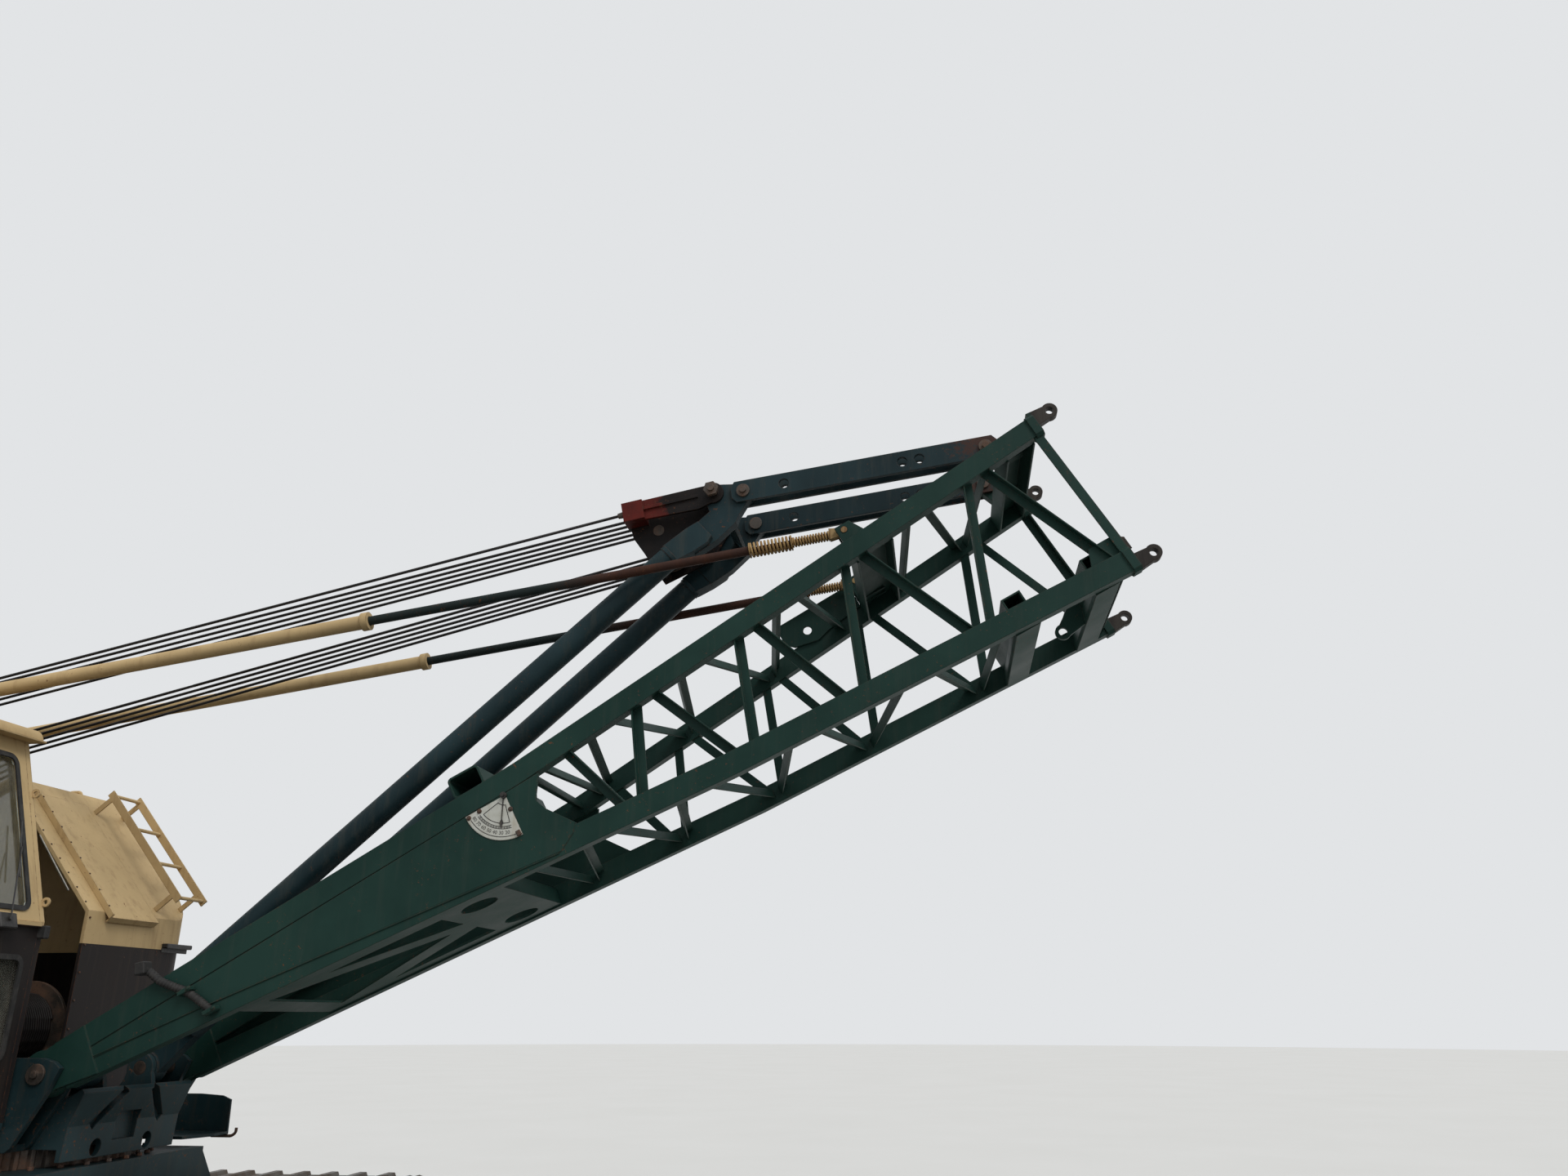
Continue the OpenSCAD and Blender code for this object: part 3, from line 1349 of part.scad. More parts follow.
// Columns: distance of the stretch's start behind the eye, its length, radius to the wire's
// middle, the wire's radius, number of turns
spring_form = [[105, 258, 29, 7, 12], [363, 300, 46, 8, 11]];
rod_thin_r = 20;
spring_end = spring_form[1][0] + spring_form[1][1];

module backstop_rods() color("#4a3a30") at_stop() both_sides() translate([0, stop_y, 0]) {
    y_bar([0, 0], 40, -30, 30);
    y_bar([0, 0], stop_pin_r, -66, 66);
    x_bar(-spring_end - 20, -20, rod_thin_r);
    x_bar(-stop_rod_l, -spring_end - seat_gap, stop_rod_r);
    // The bracket in front of the spring
    slab(-26, 26) polygon([[-105 + seat_gap, 44], [-30, 34], [-20, -22], [-105 + seat_gap, -36]]);
}

module backstop_springs() color("#b79a6a") at_stop() both_sides() translate([0, stop_y, 0])
    rotate([0, -90, 0]) rotate_extrude() for (f = spring_form) {
        translate([rod_thin_r + seat_gap, f[0]]) square([f[2] - rod_thin_r - 5, f[1]]);
        for (i = [0:f[4] - 1])
            translate([f[2], f[0] + (i + 0.5) * f[1] / f[4]]) circle(r = f[3]);
    }

module backstop_tubes() color("#cbb083") at_stop() both_sides() translate([0, stop_y, 0]) difference() {
    union() {
        x_bar(-stop_length + 40, -stop_length + stop_tube_l, stop_tube_r);
        x_bar(-stop_length + stop_tube_l - 50, -stop_length + stop_tube_l, stop_tube_r + 15);
        y_bar([-stop_length, 0], 75, -eye_half, eye_half);
    }
    x_bar(-stop_length + 120, -stop_length + stop_tube_l + 1, stop_rod_r + run_gap);
    y_bar([-stop_length, 0], 30, -100, 100);
}

carbody();
slew_ring();
crawler_frame_left();
crawler_frame_right();
track_left();
track_right();
tumblers();
track_rollers();
revolving_frame();
foot_brackets();
front_crossmember();
foot_pins();
counterweight();
gantry();
gantry_sheaves();
house_left();
house_hatch();
house_right();
house_rear();
slope_ladder();
wing_plate();
engine();
hoist_drums();
drum_stands();
cab_floor();
cab_front();
cab_left();
cab_right();
cab_back();
cab_roof();
cab_glass();
cab_seat();
cab_controls();
cab_door();
cab_door_glass();
boom_side_left();
boom_side_right();
boom_top_lacing();
boom_bottom_lacing();
boom_bulkheads();
mast_rest();
angle_indicator();
chord_sockets();
mast();
link_bars();
link_pins();
bridle();
bridle_sheaves();
backstop_rods();
backstop_springs();
backstop_tubes();
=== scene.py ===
# %% [markdown]
# # Dressing a crawler crane
#
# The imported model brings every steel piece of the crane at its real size. This lesson gives each piece
# its finish, adds what is too small or too soft for the construction model, such as ropes, bolts and
# window rubbers, and lights it in a plain studio.

# %% Load the frame
import json
import math

import bmesh
import bpy
from mathutils import Matrix, Vector


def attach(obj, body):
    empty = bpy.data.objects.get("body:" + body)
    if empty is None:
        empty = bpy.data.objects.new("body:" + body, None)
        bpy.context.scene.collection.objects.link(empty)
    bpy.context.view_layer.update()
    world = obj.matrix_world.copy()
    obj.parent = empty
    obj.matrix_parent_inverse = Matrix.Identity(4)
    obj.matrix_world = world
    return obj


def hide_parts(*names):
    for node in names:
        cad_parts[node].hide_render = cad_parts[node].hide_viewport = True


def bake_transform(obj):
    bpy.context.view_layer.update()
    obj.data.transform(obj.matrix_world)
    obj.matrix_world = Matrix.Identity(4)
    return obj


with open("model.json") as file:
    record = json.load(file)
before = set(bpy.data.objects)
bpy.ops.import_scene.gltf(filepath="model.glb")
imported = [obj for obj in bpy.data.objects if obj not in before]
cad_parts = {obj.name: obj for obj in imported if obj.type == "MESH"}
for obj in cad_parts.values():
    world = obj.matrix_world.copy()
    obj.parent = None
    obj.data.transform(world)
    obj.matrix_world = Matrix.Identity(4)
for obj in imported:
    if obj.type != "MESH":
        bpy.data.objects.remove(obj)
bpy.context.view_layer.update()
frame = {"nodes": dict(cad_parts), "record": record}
nodes = frame["nodes"]

# %% [markdown]
# ## The camera
#
# The photo was taken with a normal lens from the machine's right, ahead of the cab and a little above
# the boom's foot pins, looking up along the boom. A camera's place could be found by eye. Here it comes
# from the boom's own straight edges, because those fix the lens, the height and the turn at once.

# %% Place the camera
CAMERA_PLACE = (6.550, -7.883, 2.089)
CAMERA_UP = 19.99  # degrees above the horizon
CAMERA_TURN = 7.45  # degrees from +Y towards -X
SENSOR_MM = 36
LENS_MM = 26.99

camera = bpy.data.objects.new("camera", bpy.data.cameras.new("camera"))
bpy.context.scene.collection.objects.link(camera)
bpy.context.scene.camera = camera
camera.data.lens = LENS_MM
camera.data.sensor_width = SENSOR_MM
camera.location = CAMERA_PLACE
camera.rotation_euler = (math.radians(90 + CAMERA_UP), 0, math.radians(CAMERA_TURN))
print("camera looks up by", CAMERA_UP, "degrees")

# %% [markdown]
# ## Frames of the parked machine
#
# The boom, the mast, the bridle and the backstops each stand at an angle. Working out every bolt's place
# in the world would hide what it belongs to. So each of them gets a matrix that turns its own frame, with
# X along the piece, into the machine's frame, and its small pieces are built flat in there.

# %% The frames
def leaning(x, z, degrees):
    """The frame of a piece that starts at x, z and rises by some degrees."""
    return Matrix.Translation((x, 0, z)) @ Matrix.Rotation(math.radians(-degrees), 4, "Y")


FOOT_PIN = (1.0, 1.75)
BOOM_ANGLE = 28.52
MAST_ANGLE = 42
BOOM = leaning(*FOOT_PIN, BOOM_ANGLE)
MAST = leaning(*FOOT_PIN, MAST_ANGLE)
BRIDLE = leaning(5.0528, 5.5970, 11)  # from its pin at the mast's head
STOP = leaning(6.0013, 5.1756, 8.2727)  # from the backstops' front eyes
GANTRY_AXIS = Vector((-2.1, 0, 3.8))  # of its sheaves
SLOPE = leaning(0.4, 2.81, 180 - math.degrees(math.atan2(1.0, 0.88)))  # up the house's front
print("boom frame's X axis", [round(v, 3) for v in BOOM.col[0][:3]])

# %% [markdown]
# ## Materials, one node at a time
#
# Every finish is a small graph of shader nodes. One helper adds a node, sets its values and links its
# inputs, so a finish reads from top to bottom like a recipe. Colours are written as the sRGB hex values
# that a colour picker shows and turned to the linear values that Cycles needs.

# %% Colour and node helpers
def linear(code):
    """An sRGB hex colour as linear red, green, blue and alpha."""
    parts = [int(code[i : i + 2], 16) / 255 for i in (1, 3, 5)]
    return [c / 12.92 if c < 0.04045 else ((c + 0.055) / 1.055) ** 2.4 for c in parts] + [1]


def per_metre(size_mm):
    """The scale that gives a noise features of about this size."""
    return 1000 / size_mm


def add(mat, kind, inputs=(), **settings):
    """Add a node and return its outputs.

    inputs are plain values or other nodes' outputs, in their order or by the input's name or number."""
    node = mat.node_tree.nodes.new("ShaderNode" + kind)
    for name, value in settings.items():
        setattr(node, name, value)
    for key, value in inputs.items() if isinstance(inputs, dict) else enumerate(inputs):
        if isinstance(value, bpy.types.NodeSocket):
            mat.node_tree.links.new(value, node.inputs[key])
        else:
            node.inputs[key].default_value = value
    return node.outputs


def new_material(name):
    """A material with an empty graph, and the object coordinates."""
    mat = bpy.data.materials.new(name)
    mat.use_nodes = True
    mat.node_tree.nodes.clear()
    return mat, add(mat, "TexCoord")["Object"]


def distance_along(mat, place, pose):
    """How far a point lies along the X axis of one of the frames above, in metres."""
    axis = pose.col[0].xyz
    run = add(mat, "VectorMath", [place, axis], operation="DOT_PRODUCT")["Value"]
    return add(mat, "Math", [run, axis.dot(pose.translation)], operation="SUBTRACT")[0]


CLOUDY = {"Detail": 4, "Roughness": 0.6}  # noise of weather and handling
STREAKY = {"Detail": 5, "Roughness": 0.65}  # noise of runs and smears
GRITTY = {"Detail": 6, "Roughness": 0.7}  # noise that is sharp down to the smallest specks
FINISHES = {}  # a material for each slot
print("node helpers ready")

# %% [markdown]
# ## Weathered enamel
#
# Most of the crane is brushed or sprayed alkyd enamel on steel. It fades in patches a few hands wide,
# dirt runs down it in streaks, and on edges and in small chips it is gone to primer or rust. One recipe
# makes all of these from a few values, and each paint below states its own. A bevel node finds the
# edges, because the construction meshes are loose triangles that hold no edge angle of their own.

# %% The enamel recipe
EDGE_MM = 8  # how far the wear reaches in from an edge
GRIT_MM = 28  # size of a chip
PATCH_MM = 260  # size of a patch in which the chips lie
STREAKS_PER_METRE = (14, 14, 0.9)  # narrow across and long downwards
RUST_LIGHT = "#6b4630"
DUSTY_SPECULAR = 0.15  # dust takes most of the reflection that clean enamel has


def enamel(name, tints, gloss=0.42, chips=0.62, wear=0.7, streaks=0.5, fade_mm=700, swap=None):
    """Enamel on steel. tints are its fresh, faded, bare and dirt colours.

    swap is a function that changes the finished colour, for a second paint or a stain in one place."""
    mat, place = new_material(name)
    fresh, faded, under, dirt = [linear(tint) for tint in tints]
    fade = add(mat, "TexNoise", {"Vector": place, "Scale": per_metre(fade_mm), **CLOUDY})[0]
    down = add(mat, "Mapping", {"Vector": place, "Scale": STREAKS_PER_METRE})[0]
    runs = add(mat, "TexNoise", {"Vector": down, "Scale": 1, **STREAKY})[0]
    grit = add(mat, "TexNoise", {"Vector": place, "Scale": per_metre(GRIT_MM), **GRITTY})[0]
    wide = {"Vector": place, "Scale": per_metre(PATCH_MM), "Detail": 3, "Roughness": 0.6}
    patches = add(mat, "TexNoise", wide)[0]

    share = add(mat, "MapRange", [fade, 0.38, 0.66])[0]
    paint = add(mat, "Mix", {0: share, 6: fresh, 7: faded}, data_type="RGBA")[2]
    share = add(mat, "MapRange", [runs, 0.52, 0.74, 0, streaks])[0]
    paint = add(mat, "Mix", {0: share, 6: paint, 7: dirt}, data_type="RGBA")[2]
    if swap:
        paint = swap(mat, place, paint, fade, runs)

    rounded = add(mat, "Bevel", {"Radius": EDGE_MM / 1000}, samples=4)[0]
    true = add(mat, "NewGeometry")["True Normal"]
    match = add(mat, "VectorMath", [rounded, true], operation="DOT_PRODUCT")["Value"]
    edge = add(mat, "MapRange", [match, 0.985, 0.86, 0, wear])[0]
    share = add(mat, "MapRange", [grit, 0.40, 0.60])[0]
    edge = add(mat, "Math", [edge, share], operation="MULTIPLY")[0]
    flake = add(mat, "MapRange", [grit, chips, chips + 0.03])[0]
    share = add(mat, "MapRange", [patches, 0.48, 0.60])[0]
    flake = add(mat, "Math", [flake, share], operation="MULTIPLY")[0]
    bare = add(mat, "Math", [edge, flake], operation="MAXIMUM")[0]
    share = add(mat, "MapRange", [fade, 0.4, 0.6])[0]
    rust = add(mat, "Mix", {0: share, 6: under, 7: linear(RUST_LIGHT)}, data_type="RGBA")[2]
    colour = add(mat, "Mix", {0: bare, 6: paint, 7: rust}, data_type="RGBA")[2]

    rough = add(mat, "MapRange", [fade, 0.3, 0.7, gloss - 0.06, gloss + 0.14])[0]
    dull = add(mat, "Math", [bare, 0.3], operation="MULTIPLY")[0]
    rough = add(mat, "Math", [rough, dull], operation="ADD")[0]
    grain = add(mat, "MapRange", [grit, 0.3, 0.7, 0, 0.25])[0]
    height = add(mat, "Math", [grain, bare], operation="SUBTRACT")[0]
    relief = {"Height": height, "Strength": 0.25, "Distance": 0.002, "Normal": rounded}
    bump = add(mat, "Bump", relief)[0]
    values = {"Base Color": colour, "Roughness": rough, "Normal": bump}
    values["Specular IOR Level"] = DUSTY_SPECULAR
    add(mat, "OutputMaterial", [add(mat, "BsdfPrincipled", values)[0]])
    return mat


print("enamel wears off within", EDGE_MM, "mm of an edge")

# %% [markdown]
# The boom is a deep bottle green that has greyed with dust, and its pin lugs were never painted. The
# mast and the link bars were painted another time, in a bluer teal, and rust has broken out near the
# boom's end of the links. The upper frame is that teal gone grey.

# %% Greens and teals
LUG_START = 7.49  # metres from the foot pins
LINK_RUST = (6.4, 7.15)  # metres from the foot pins, along the mast


def bare_lugs(mat, place, paint, fade, runs):
    """Bare brown steel beyond the collars at the boom's end."""
    run = distance_along(mat, place, BOOM)
    beyond = add(mat, "MapRange", [run, LUG_START, LUG_START + 0.02])[0]
    share = add(mat, "MapRange", [runs, 0.4, 0.6])[0]
    steel = add(mat, "Mix", {0: share, 6: linear("#3d3833"), 7: linear("#2c2825")}, data_type="RGBA")[2]
    return add(mat, "Mix", {0: beyond, 6: paint, 7: steel}, data_type="RGBA")[2]


def rusty_ends(mat, place, paint, fade, runs):
    """Orange rust breaking through near the boom's end of the link bars."""
    run = distance_along(mat, place, MAST)
    near = add(mat, "MapRange", [run, *LINK_RUST, -0.5, 0.2])[0]
    specks = add(mat, "TexNoise", {"Vector": place, "Scale": per_metre(60), **GRITTY})[0]
    both = add(mat, "Math", [near, specks], operation="ADD")[0]
    share = add(mat, "MapRange", [both, 0.55, 0.70, 0, 0.7])[0]
    return add(mat, "Mix", {0: share, 6: paint, 7: linear("#4e2e22")}, data_type="RGBA")[2]


# Gloss enamel gone dull: long soft highlights, greyer where dust has settled
FINISHES["boom_green"] = enamel(
    "bottle_green_enamel",
    ("#15302a", "#213c35", "#453b33", "#3d433c"),
    streaks=0.3,
    gloss=0.5,
    wear=0.45,
    swap=bare_lugs,
)
# The same kind of paint in a bluer tone, worn through at its many edges
teal_tints = ("#18292d", "#24373b", "#463a31", "#43443e")
FINISHES["mast_teal"] = enamel("teal_enamel", teal_tints, wear=0.8, gloss=0.46, swap=rusty_ends)
# Teal that is walked and climbed on: more chips, and long streaks of dirt
frame_tints = ("#1a2b2e", "#2a3c3f", "#42382f", "#3c3831")
FINISHES["frame_paint"] = enamel("grey_teal_enamel", frame_tints, chips=0.58, streaks=0.6)
print("greens and teals:", list(FINISHES))

# %% [markdown]
# The house and the cab are a cream that has gone chalky. Rust bleeds down from its seams, so its dirt is
# a rust brown, and the chips show red primer. Below a sharp line the same panels are a chocolate brown,
# so the cream recipe changes over to brown by height.

# %% Cream, brown and iron
HOUSE_LINE = 2.58  # metres above the ground
CAB_LINE = 2.62
CAB_SIDE = -0.77  # the cab lies on this side of Y


def brown_below(mat, place, paint, fade, runs):
    """Chocolate enamel below the line, which is a little higher on the cab."""
    axes = add(mat, "SeparateXYZ", [place])
    line = add(mat, "MapRange", [axes["Y"], CAB_SIDE, CAB_SIDE - 0.001, HOUSE_LINE, CAB_LINE])[0]
    depth = add(mat, "Math", [line, axes["Z"]], operation="SUBTRACT")[0]
    below = add(mat, "MapRange", [depth, -0.001, 0.001])[0]
    share = add(mat, "MapRange", [fade, 0.38, 0.66])[0]
    brown = add(mat, "Mix", {0: share, 6: linear("#1e1a1a"), 7: linear("#2b2624")}, data_type="RGBA")[2]
    share = add(mat, "MapRange", [runs, 0.5, 0.72, 0, 0.5])[0]
    brown = add(mat, "Mix", {0: share, 6: brown, 7: linear("#3d332b")}, data_type="RGBA")[2]
    return add(mat, "Mix", {0: below, 6: paint, 7: brown}, data_type="RGBA")[2]


# Chalked enamel: almost no highlight, and rust that bleeds through at edges
FINISHES["cream_paint"] = enamel(
    "chalky_cream_enamel",
    ("#c9ad7e", "#b99f74", "#6f452e", "#8a6a48"),
    gloss=0.55,
    chips=0.64,
    wear=0.8,
    streaks=0.4,
    swap=brown_below,
)
# Dark satin enamel: it hides the dirt, and only dust and edges show on it
brown_tints = ("#201c1b", "#2d2725", "#4a3829", "#3f3731")
FINISHES["brown_paint"] = enamel("chocolate_enamel", brown_tints, gloss=0.45)
# Fired enamel on the dial: hard and shiny, with rusty chips and spots
FINISHES["white_enamel"] = enamel(
    "white_vitreous_enamel",
    ("#c9c9c0", "#b9b8ac", "#5b3524", "#a08a68"),
    gloss=0.25,
    chips=0.62,
    streaks=0.45,
    wear=1,
    fade_mm=90,
)
# Brushed over a rough casting: broad, uneven fading and no shine
iron_tints = ("#332f2d", "#443f3c", "#5b4434", "#58504a")
FINISHES["weight_iron"] = enamel("painted_cast_iron", iron_tints, gloss=0.6, fade_mm=900)
print("paints so far:", len(FINISHES))

# %% [markdown]
# The bridle was painted red, and grease from its sheaves has blackened all but its outer end. The
# backstops' tubes are cream with rust freckles underneath. Their rods are painted black-green behind the
# mast and are bare rust in front of it. The wide blend between the two is partly that paint and partly
# painted shade, which darkens the rod where the rust meets the black-green.

# %% Red, grease and the backstops' rods
RED_END = -0.47  # metres behind the bridle's pin
RED_HALF = 0.25  # metres from the middle to the red sides
ROD_CHANGE = -1.60  # metres behind the backstop's eye
ROD_HEAD = -0.105


def greased(mat, place, paint, fade, runs):
    """Black grease over the red, thinning out towards the bridle's end."""
    smear = add(mat, "TexNoise", {"Vector": place, "Scale": per_metre(130), **STREAKY})[0]
    run = distance_along(mat, place, BRIDLE)
    thin = add(mat, "MapRange", [run, RED_END - 0.02, RED_END + 0.24, -0.46, 0.36])[0]
    both = add(mat, "Math", [thin, smear], operation="ADD")[0]
    share = add(mat, "MapRange", [both, 0.36, 0.47])[0]
    wide = add(mat, "Math", [add(mat, "SeparateXYZ", [place])["Y"]], operation="ABSOLUTE")[0]
    inside = add(mat, "MapRange", [wide, RED_HALF + 0.01, RED_HALF - 0.01])[0]
    share = add(mat, "Math", [share, inside], operation="MAXIMUM")[0]
    thick = add(mat, "MapRange", [smear, 0.4, 0.6])[0]
    grease = add(mat, "Mix", {0: thick, 6: linear("#131010"), 7: linear("#1e1917")}, data_type="RGBA")[2]
    return add(mat, "Mix", {0: share, 6: paint, 7: grease}, data_type="RGBA")[2]


def painted_rod(mat, place, paint, fade, runs):
    """Black-green paint on the rod behind the mast, reached through a half-metre blend that is partly
    painted shade, and stained cream on its head.
    """
    run = distance_along(mat, place, STOP)
    share = add(mat, "MapRange", [runs, 0.45, 0.6])[0]
    cream = add(mat, "Mix", {0: share, 6: linear("#a58a60"), 7: linear("#6a4630")}, data_type="RGBA")[2]
    head = add(mat, "MapRange", [run, ROD_HEAD - 0.01, ROD_HEAD])[0]
    paint = add(mat, "Mix", {0: head, 6: paint, 7: cream}, data_type="RGBA")[2]
    # The half-metre blend into the black-green is partly painted shade that darkens the rod there, and
    # partly the paint
    behind = add(mat, "MapRange", [run, ROD_CHANGE, ROD_CHANGE - 0.5])[0]
    return add(mat, "Mix", {0: behind, 6: paint, 7: linear("#1d2625")}, data_type="RGBA")[2]


# Old gloss paint under grease: red only where nothing drips
FINISHES["bridle_red"] = enamel(
    "greased_red_enamel",
    ("#641e16", "#4d1b16", "#241d1b", "#2b1b17"),
    chips=0.60,
    wear=0.6,
    gloss=0.5,
    fade_mm=200,
    swap=greased,
)
# Round bar rusted all over: dull, and blotched in small brown patches
rod_tints = ("#38241d", "#482d22", "#251b17", "#281b16")
FINISHES["rod_steel"] = enamel(
    "rusted_round_bar", rod_tints, gloss=0.6, chips=0.58, fade_mm=150, swap=painted_rod
)
# Paint that breaks as the springs work: rust shows between many small flakes
spring_tints = ("#b99a68", "#9c7b50", "#5a3526", "#6a3f2a")
FINISHES["spring_paint"] = enamel(
    "rusting_cream_enamel", spring_tints, chips=0.44, wear=0.6, streaks=0.9, fade_mm=60
)
print("paints in all:", len(FINISHES))

# %% [markdown]
# ## Bare and greasy steel
#
# Pins, sheaves, lugs and track shoes carry no paint. They are steel that rusts brown where nothing rubs
# it and stays dark and oily where grease sits. Two noises of different size mix the rust with the steel.

# %% The bare steel recipe
RUST_MM = 180  # size of a rusted patch
# Rust's own grain is a few millimetres and wouldn't show from here, so grain_mm is 6 to 30


def bare_metal(name, tints, metal=0.6, rough=0.5, grain_mm=12):
    """Steel without paint. tints are its steel, rust and grease colours."""
    mat, place = new_material(name)
    steel, rust, grease = [linear(tint) for tint in tints]
    small = add(mat, "TexNoise", {"Vector": place, "Scale": per_metre(grain_mm), **CLOUDY})[0]
    large = add(mat, "TexNoise", {"Vector": place, "Scale": per_metre(RUST_MM), **STREAKY})[0]
    rusted = add(mat, "MapRange", [large, 0.42, 0.60])[0]
    colour = add(mat, "Mix", {0: rusted, 6: steel, 7: rust}, data_type="RGBA")[2]
    share = add(mat, "MapRange", [small, 0.55, 0.75])[0]
    colour = add(mat, "Mix", {0: share, 6: colour, 7: grease}, data_type="RGBA")[2]
    shine = add(mat, "MapRange", [rusted, 0, 1, metal, 0.05])[0]
    roughness = add(mat, "MapRange", [rusted, 0, 1, rough - 0.12, rough + 0.3])[0]
    rounded = add(mat, "Bevel", {"Radius": 0.006}, samples=4)[0]
    relief = {"Height": small, "Strength": 0.3, "Distance": 0.002, "Normal": rounded}
    bump = add(mat, "Bump", relief)[0]
    values = {"Base Color": colour, "Metallic": shine, "Roughness": roughness, "Normal": bump}
    add(mat, "OutputMaterial", [add(mat, "BsdfPrincipled", values)[0]])
    return mat


# Turned and ground, then greased: dark, with a wet gleam. Cast shoes are rougher, bolts rust all over
FINISHES["bare_steel"] = bare_metal("greasy_machined_steel", ("#4c4640", "#5a4232", "#2a2523"))
cast_tints = ("#5a544c", "#5d4b3c", "#3f3831")
FINISHES["track_steel"] = bare_metal("worn_cast_steel", cast_tints, rough=0.55, grain_mm=30)
bolt_tints = ("#453930", "#5f402e", "#302621")
FINISHES["rusty_bolt"] = bare_metal("rusted_bolt_steel", bolt_tints, metal=0.3, rough=0.6, grain_mm=6)
print("steels ready")

# %% [markdown]
# The boom hoist ropes are wires twisted in six strands and soaked in black grease. Modelling the strands
# would cost a million faces. A wave across the rope, drawn in the rope's own length and turn, gives the
# same slanted ribs, so each rope stores those two as a UV map when it is made.

# %% Greased wire rope
ROPE_MM = 22
RIBS = 1.9  # three dark and three light ribs in one turn of the strands


def wire_rope():
    """Greased steel rope with the lay of its strands."""
    mat, place = new_material("greased_wire_rope")
    turn = add(mat, "UVMap", uv_map="lay")[0]
    waves = {"Vector": turn, "Scale": RIBS, "Distortion": 0}
    ribs = add(mat, "TexWave", waves, bands_direction="DIAGONAL")[1]
    grease = add(mat, "TexNoise", {"Vector": place, "Scale": per_metre(120), **CLOUDY})[0]
    colour = add(mat, "Mix", {0: ribs, 6: linear("#161312"), 7: linear("#3a332d")}, data_type="RGBA")[2]
    share = add(mat, "MapRange", [grease, 0.45, 0.7])[0]
    colour = add(mat, "Mix", {0: share, 6: colour, 7: linear("#241e1b")}, data_type="RGBA")[2]
    bump = add(mat, "Bump", {"Height": ribs, "Strength": 0.6, "Distance": 0.003})[0]
    values = {"Base Color": colour, "Metallic": 0.4, "Roughness": 0.5, "Normal": bump}
    add(mat, "OutputMaterial", [add(mat, "BsdfPrincipled", values)[0]])
    return mat


# Grease fills the valleys between the strands, and their crowns shine a little
FINISHES["rope_steel"] = wire_rope()
print("rope of", ROPE_MM, "mm")

# %% [markdown]
# ## Glass, rubber and vinyl
#
# The cab's windows are flat safety glass with a film of dust, so they are clear with a little milk.
# Window rubbers, hoses and the operator's seat are black and dull. The dial's print is flat black ink.

# %% Glass and black trim
def dusty_glass():
    """Clear safety glass under a thin film of dust."""
    mat, place = new_material("dusty_safety_glass")
    clear = {"Base Color": linear("#dfe8e6"), "Roughness": 0.03, "IOR": 1.5, "Transmission Weight": 1}
    pane = add(mat, "BsdfPrincipled", clear)[0]
    dust = add(mat, "BsdfPrincipled", {"Base Color": linear("#a8a294"), "Roughness": 0.8})[0]
    film = {"Vector": place, "Scale": per_metre(220), "Detail": 5, "Roughness": 0.6}
    share = add(mat, "MapRange", [add(mat, "TexNoise", film)[0], 0.35, 0.7, 0.05, 0.22])[0]
    add(mat, "OutputMaterial", [add(mat, "MixShader", [share, pane, dust])[0]])
    return mat


def matt(name, colour, worn, rough, grain_mm=60):
    """Rubber, vinyl or ink: dull, and greyed where it is rubbed."""
    mat, place = new_material(name)
    rub = add(mat, "TexNoise", {"Vector": place, "Scale": per_metre(grain_mm), **CLOUDY})[0]
    share = add(mat, "MapRange", [rub, 0.45, 0.7])[0]
    tint = add(mat, "Mix", {0: share, 6: linear(colour), 7: linear(worn)}, data_type="RGBA")[2]
    bump = add(mat, "Bump", {"Height": rub, "Strength": 0.2, "Distance": 0.001})[0]
    values = {"Base Color": tint, "Roughness": rough, "Normal": bump}
    add(mat, "OutputMaterial", [add(mat, "BsdfPrincipled", values)[0]])
    return mat


# Glass gives sharp reflections through a thin veil. Vinyl has a slight sheen, rubber and ink have none
FINISHES["cab_glass"] = dusty_glass()
FINISHES["black_vinyl"] = matt("black_vinyl", "#211f1e", "#3a3733", 0.55)
FINISHES["rubber"] = matt("window_rubber", "#1b1a19", "#34312e", 0.75)
FINISHES["dial_ink"] = matt("black_dial_ink", "#1c1a19", "#4a443c", 0.6, 25)
print("finishes in all:", len(FINISHES))

# %% [markdown]
# ## A finish for every construction piece
#
# The record says which slot each piece belongs to. The table of finishes turns the slot into a material
# here, so no piece can be forgotten. The pieces added below use the same table, and where their finish is
# none of the record's slots, they say which slot comes nearest.

# %% Give each node its finish
for part in frame["record"]["subparts"]:
    skin = nodes[part["node"]].data.materials
    skin.clear()
    skin.append(FINISHES[part["material_slot"]])

# %% [markdown]
# ## Small pieces
#
# Every added piece is one mesh that rides one body, so that a whole row of bolts is one piece and moves
# with its machine part. The shapes of a piece are laid into one bmesh, each in the frame it belongs to.
# One helper then makes the object, gives it the finish of its slot, and names its body.

# %% Finish a piece
def piece(name, bm, skin, body=None):
    """Close the bmesh into an object with one finish. It rides the body given, or no body."""
    bmesh.ops.recalc_face_normals(bm, faces=bm.faces)
    mesh = bpy.data.meshes.new(name)
    bm.to_mesh(mesh)
    bm.free()
    made = bpy.data.objects.new(name, mesh)
    bpy.context.scene.collection.objects.link(made)
    mesh.materials.append(FINISHES[skin])
    if body:
        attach(made, body)
    print(name, len(mesh.polygons), "faces")
    return made


def aim(start, end):
    """The frame at start whose Z axis points to end."""
    start, end = Vector(start), Vector(end)
    turn = (end - start).to_track_quat("Z", "Y").to_matrix().to_4x4()
    return Matrix.Translation(start) @ turn


# %% [markdown]
# ## Boom hoist ropes
#
# One wire rope runs ten times between the five sheaves of the bridle and the five of the gantry, and its
# dead end is held beside them. It could be one long path, but the gap between the two sheave rows turns
# and stretches as the boom moves. So each line is two halves that meet in the middle. The front half
# rides the bridle. The rear half rides no body, and the backstops point the same way as it.

# %% A rope along a path
ROPE_R = ROPE_MM / 2000
ROPE_LAY = 0.143  # metres for one turn of the strands


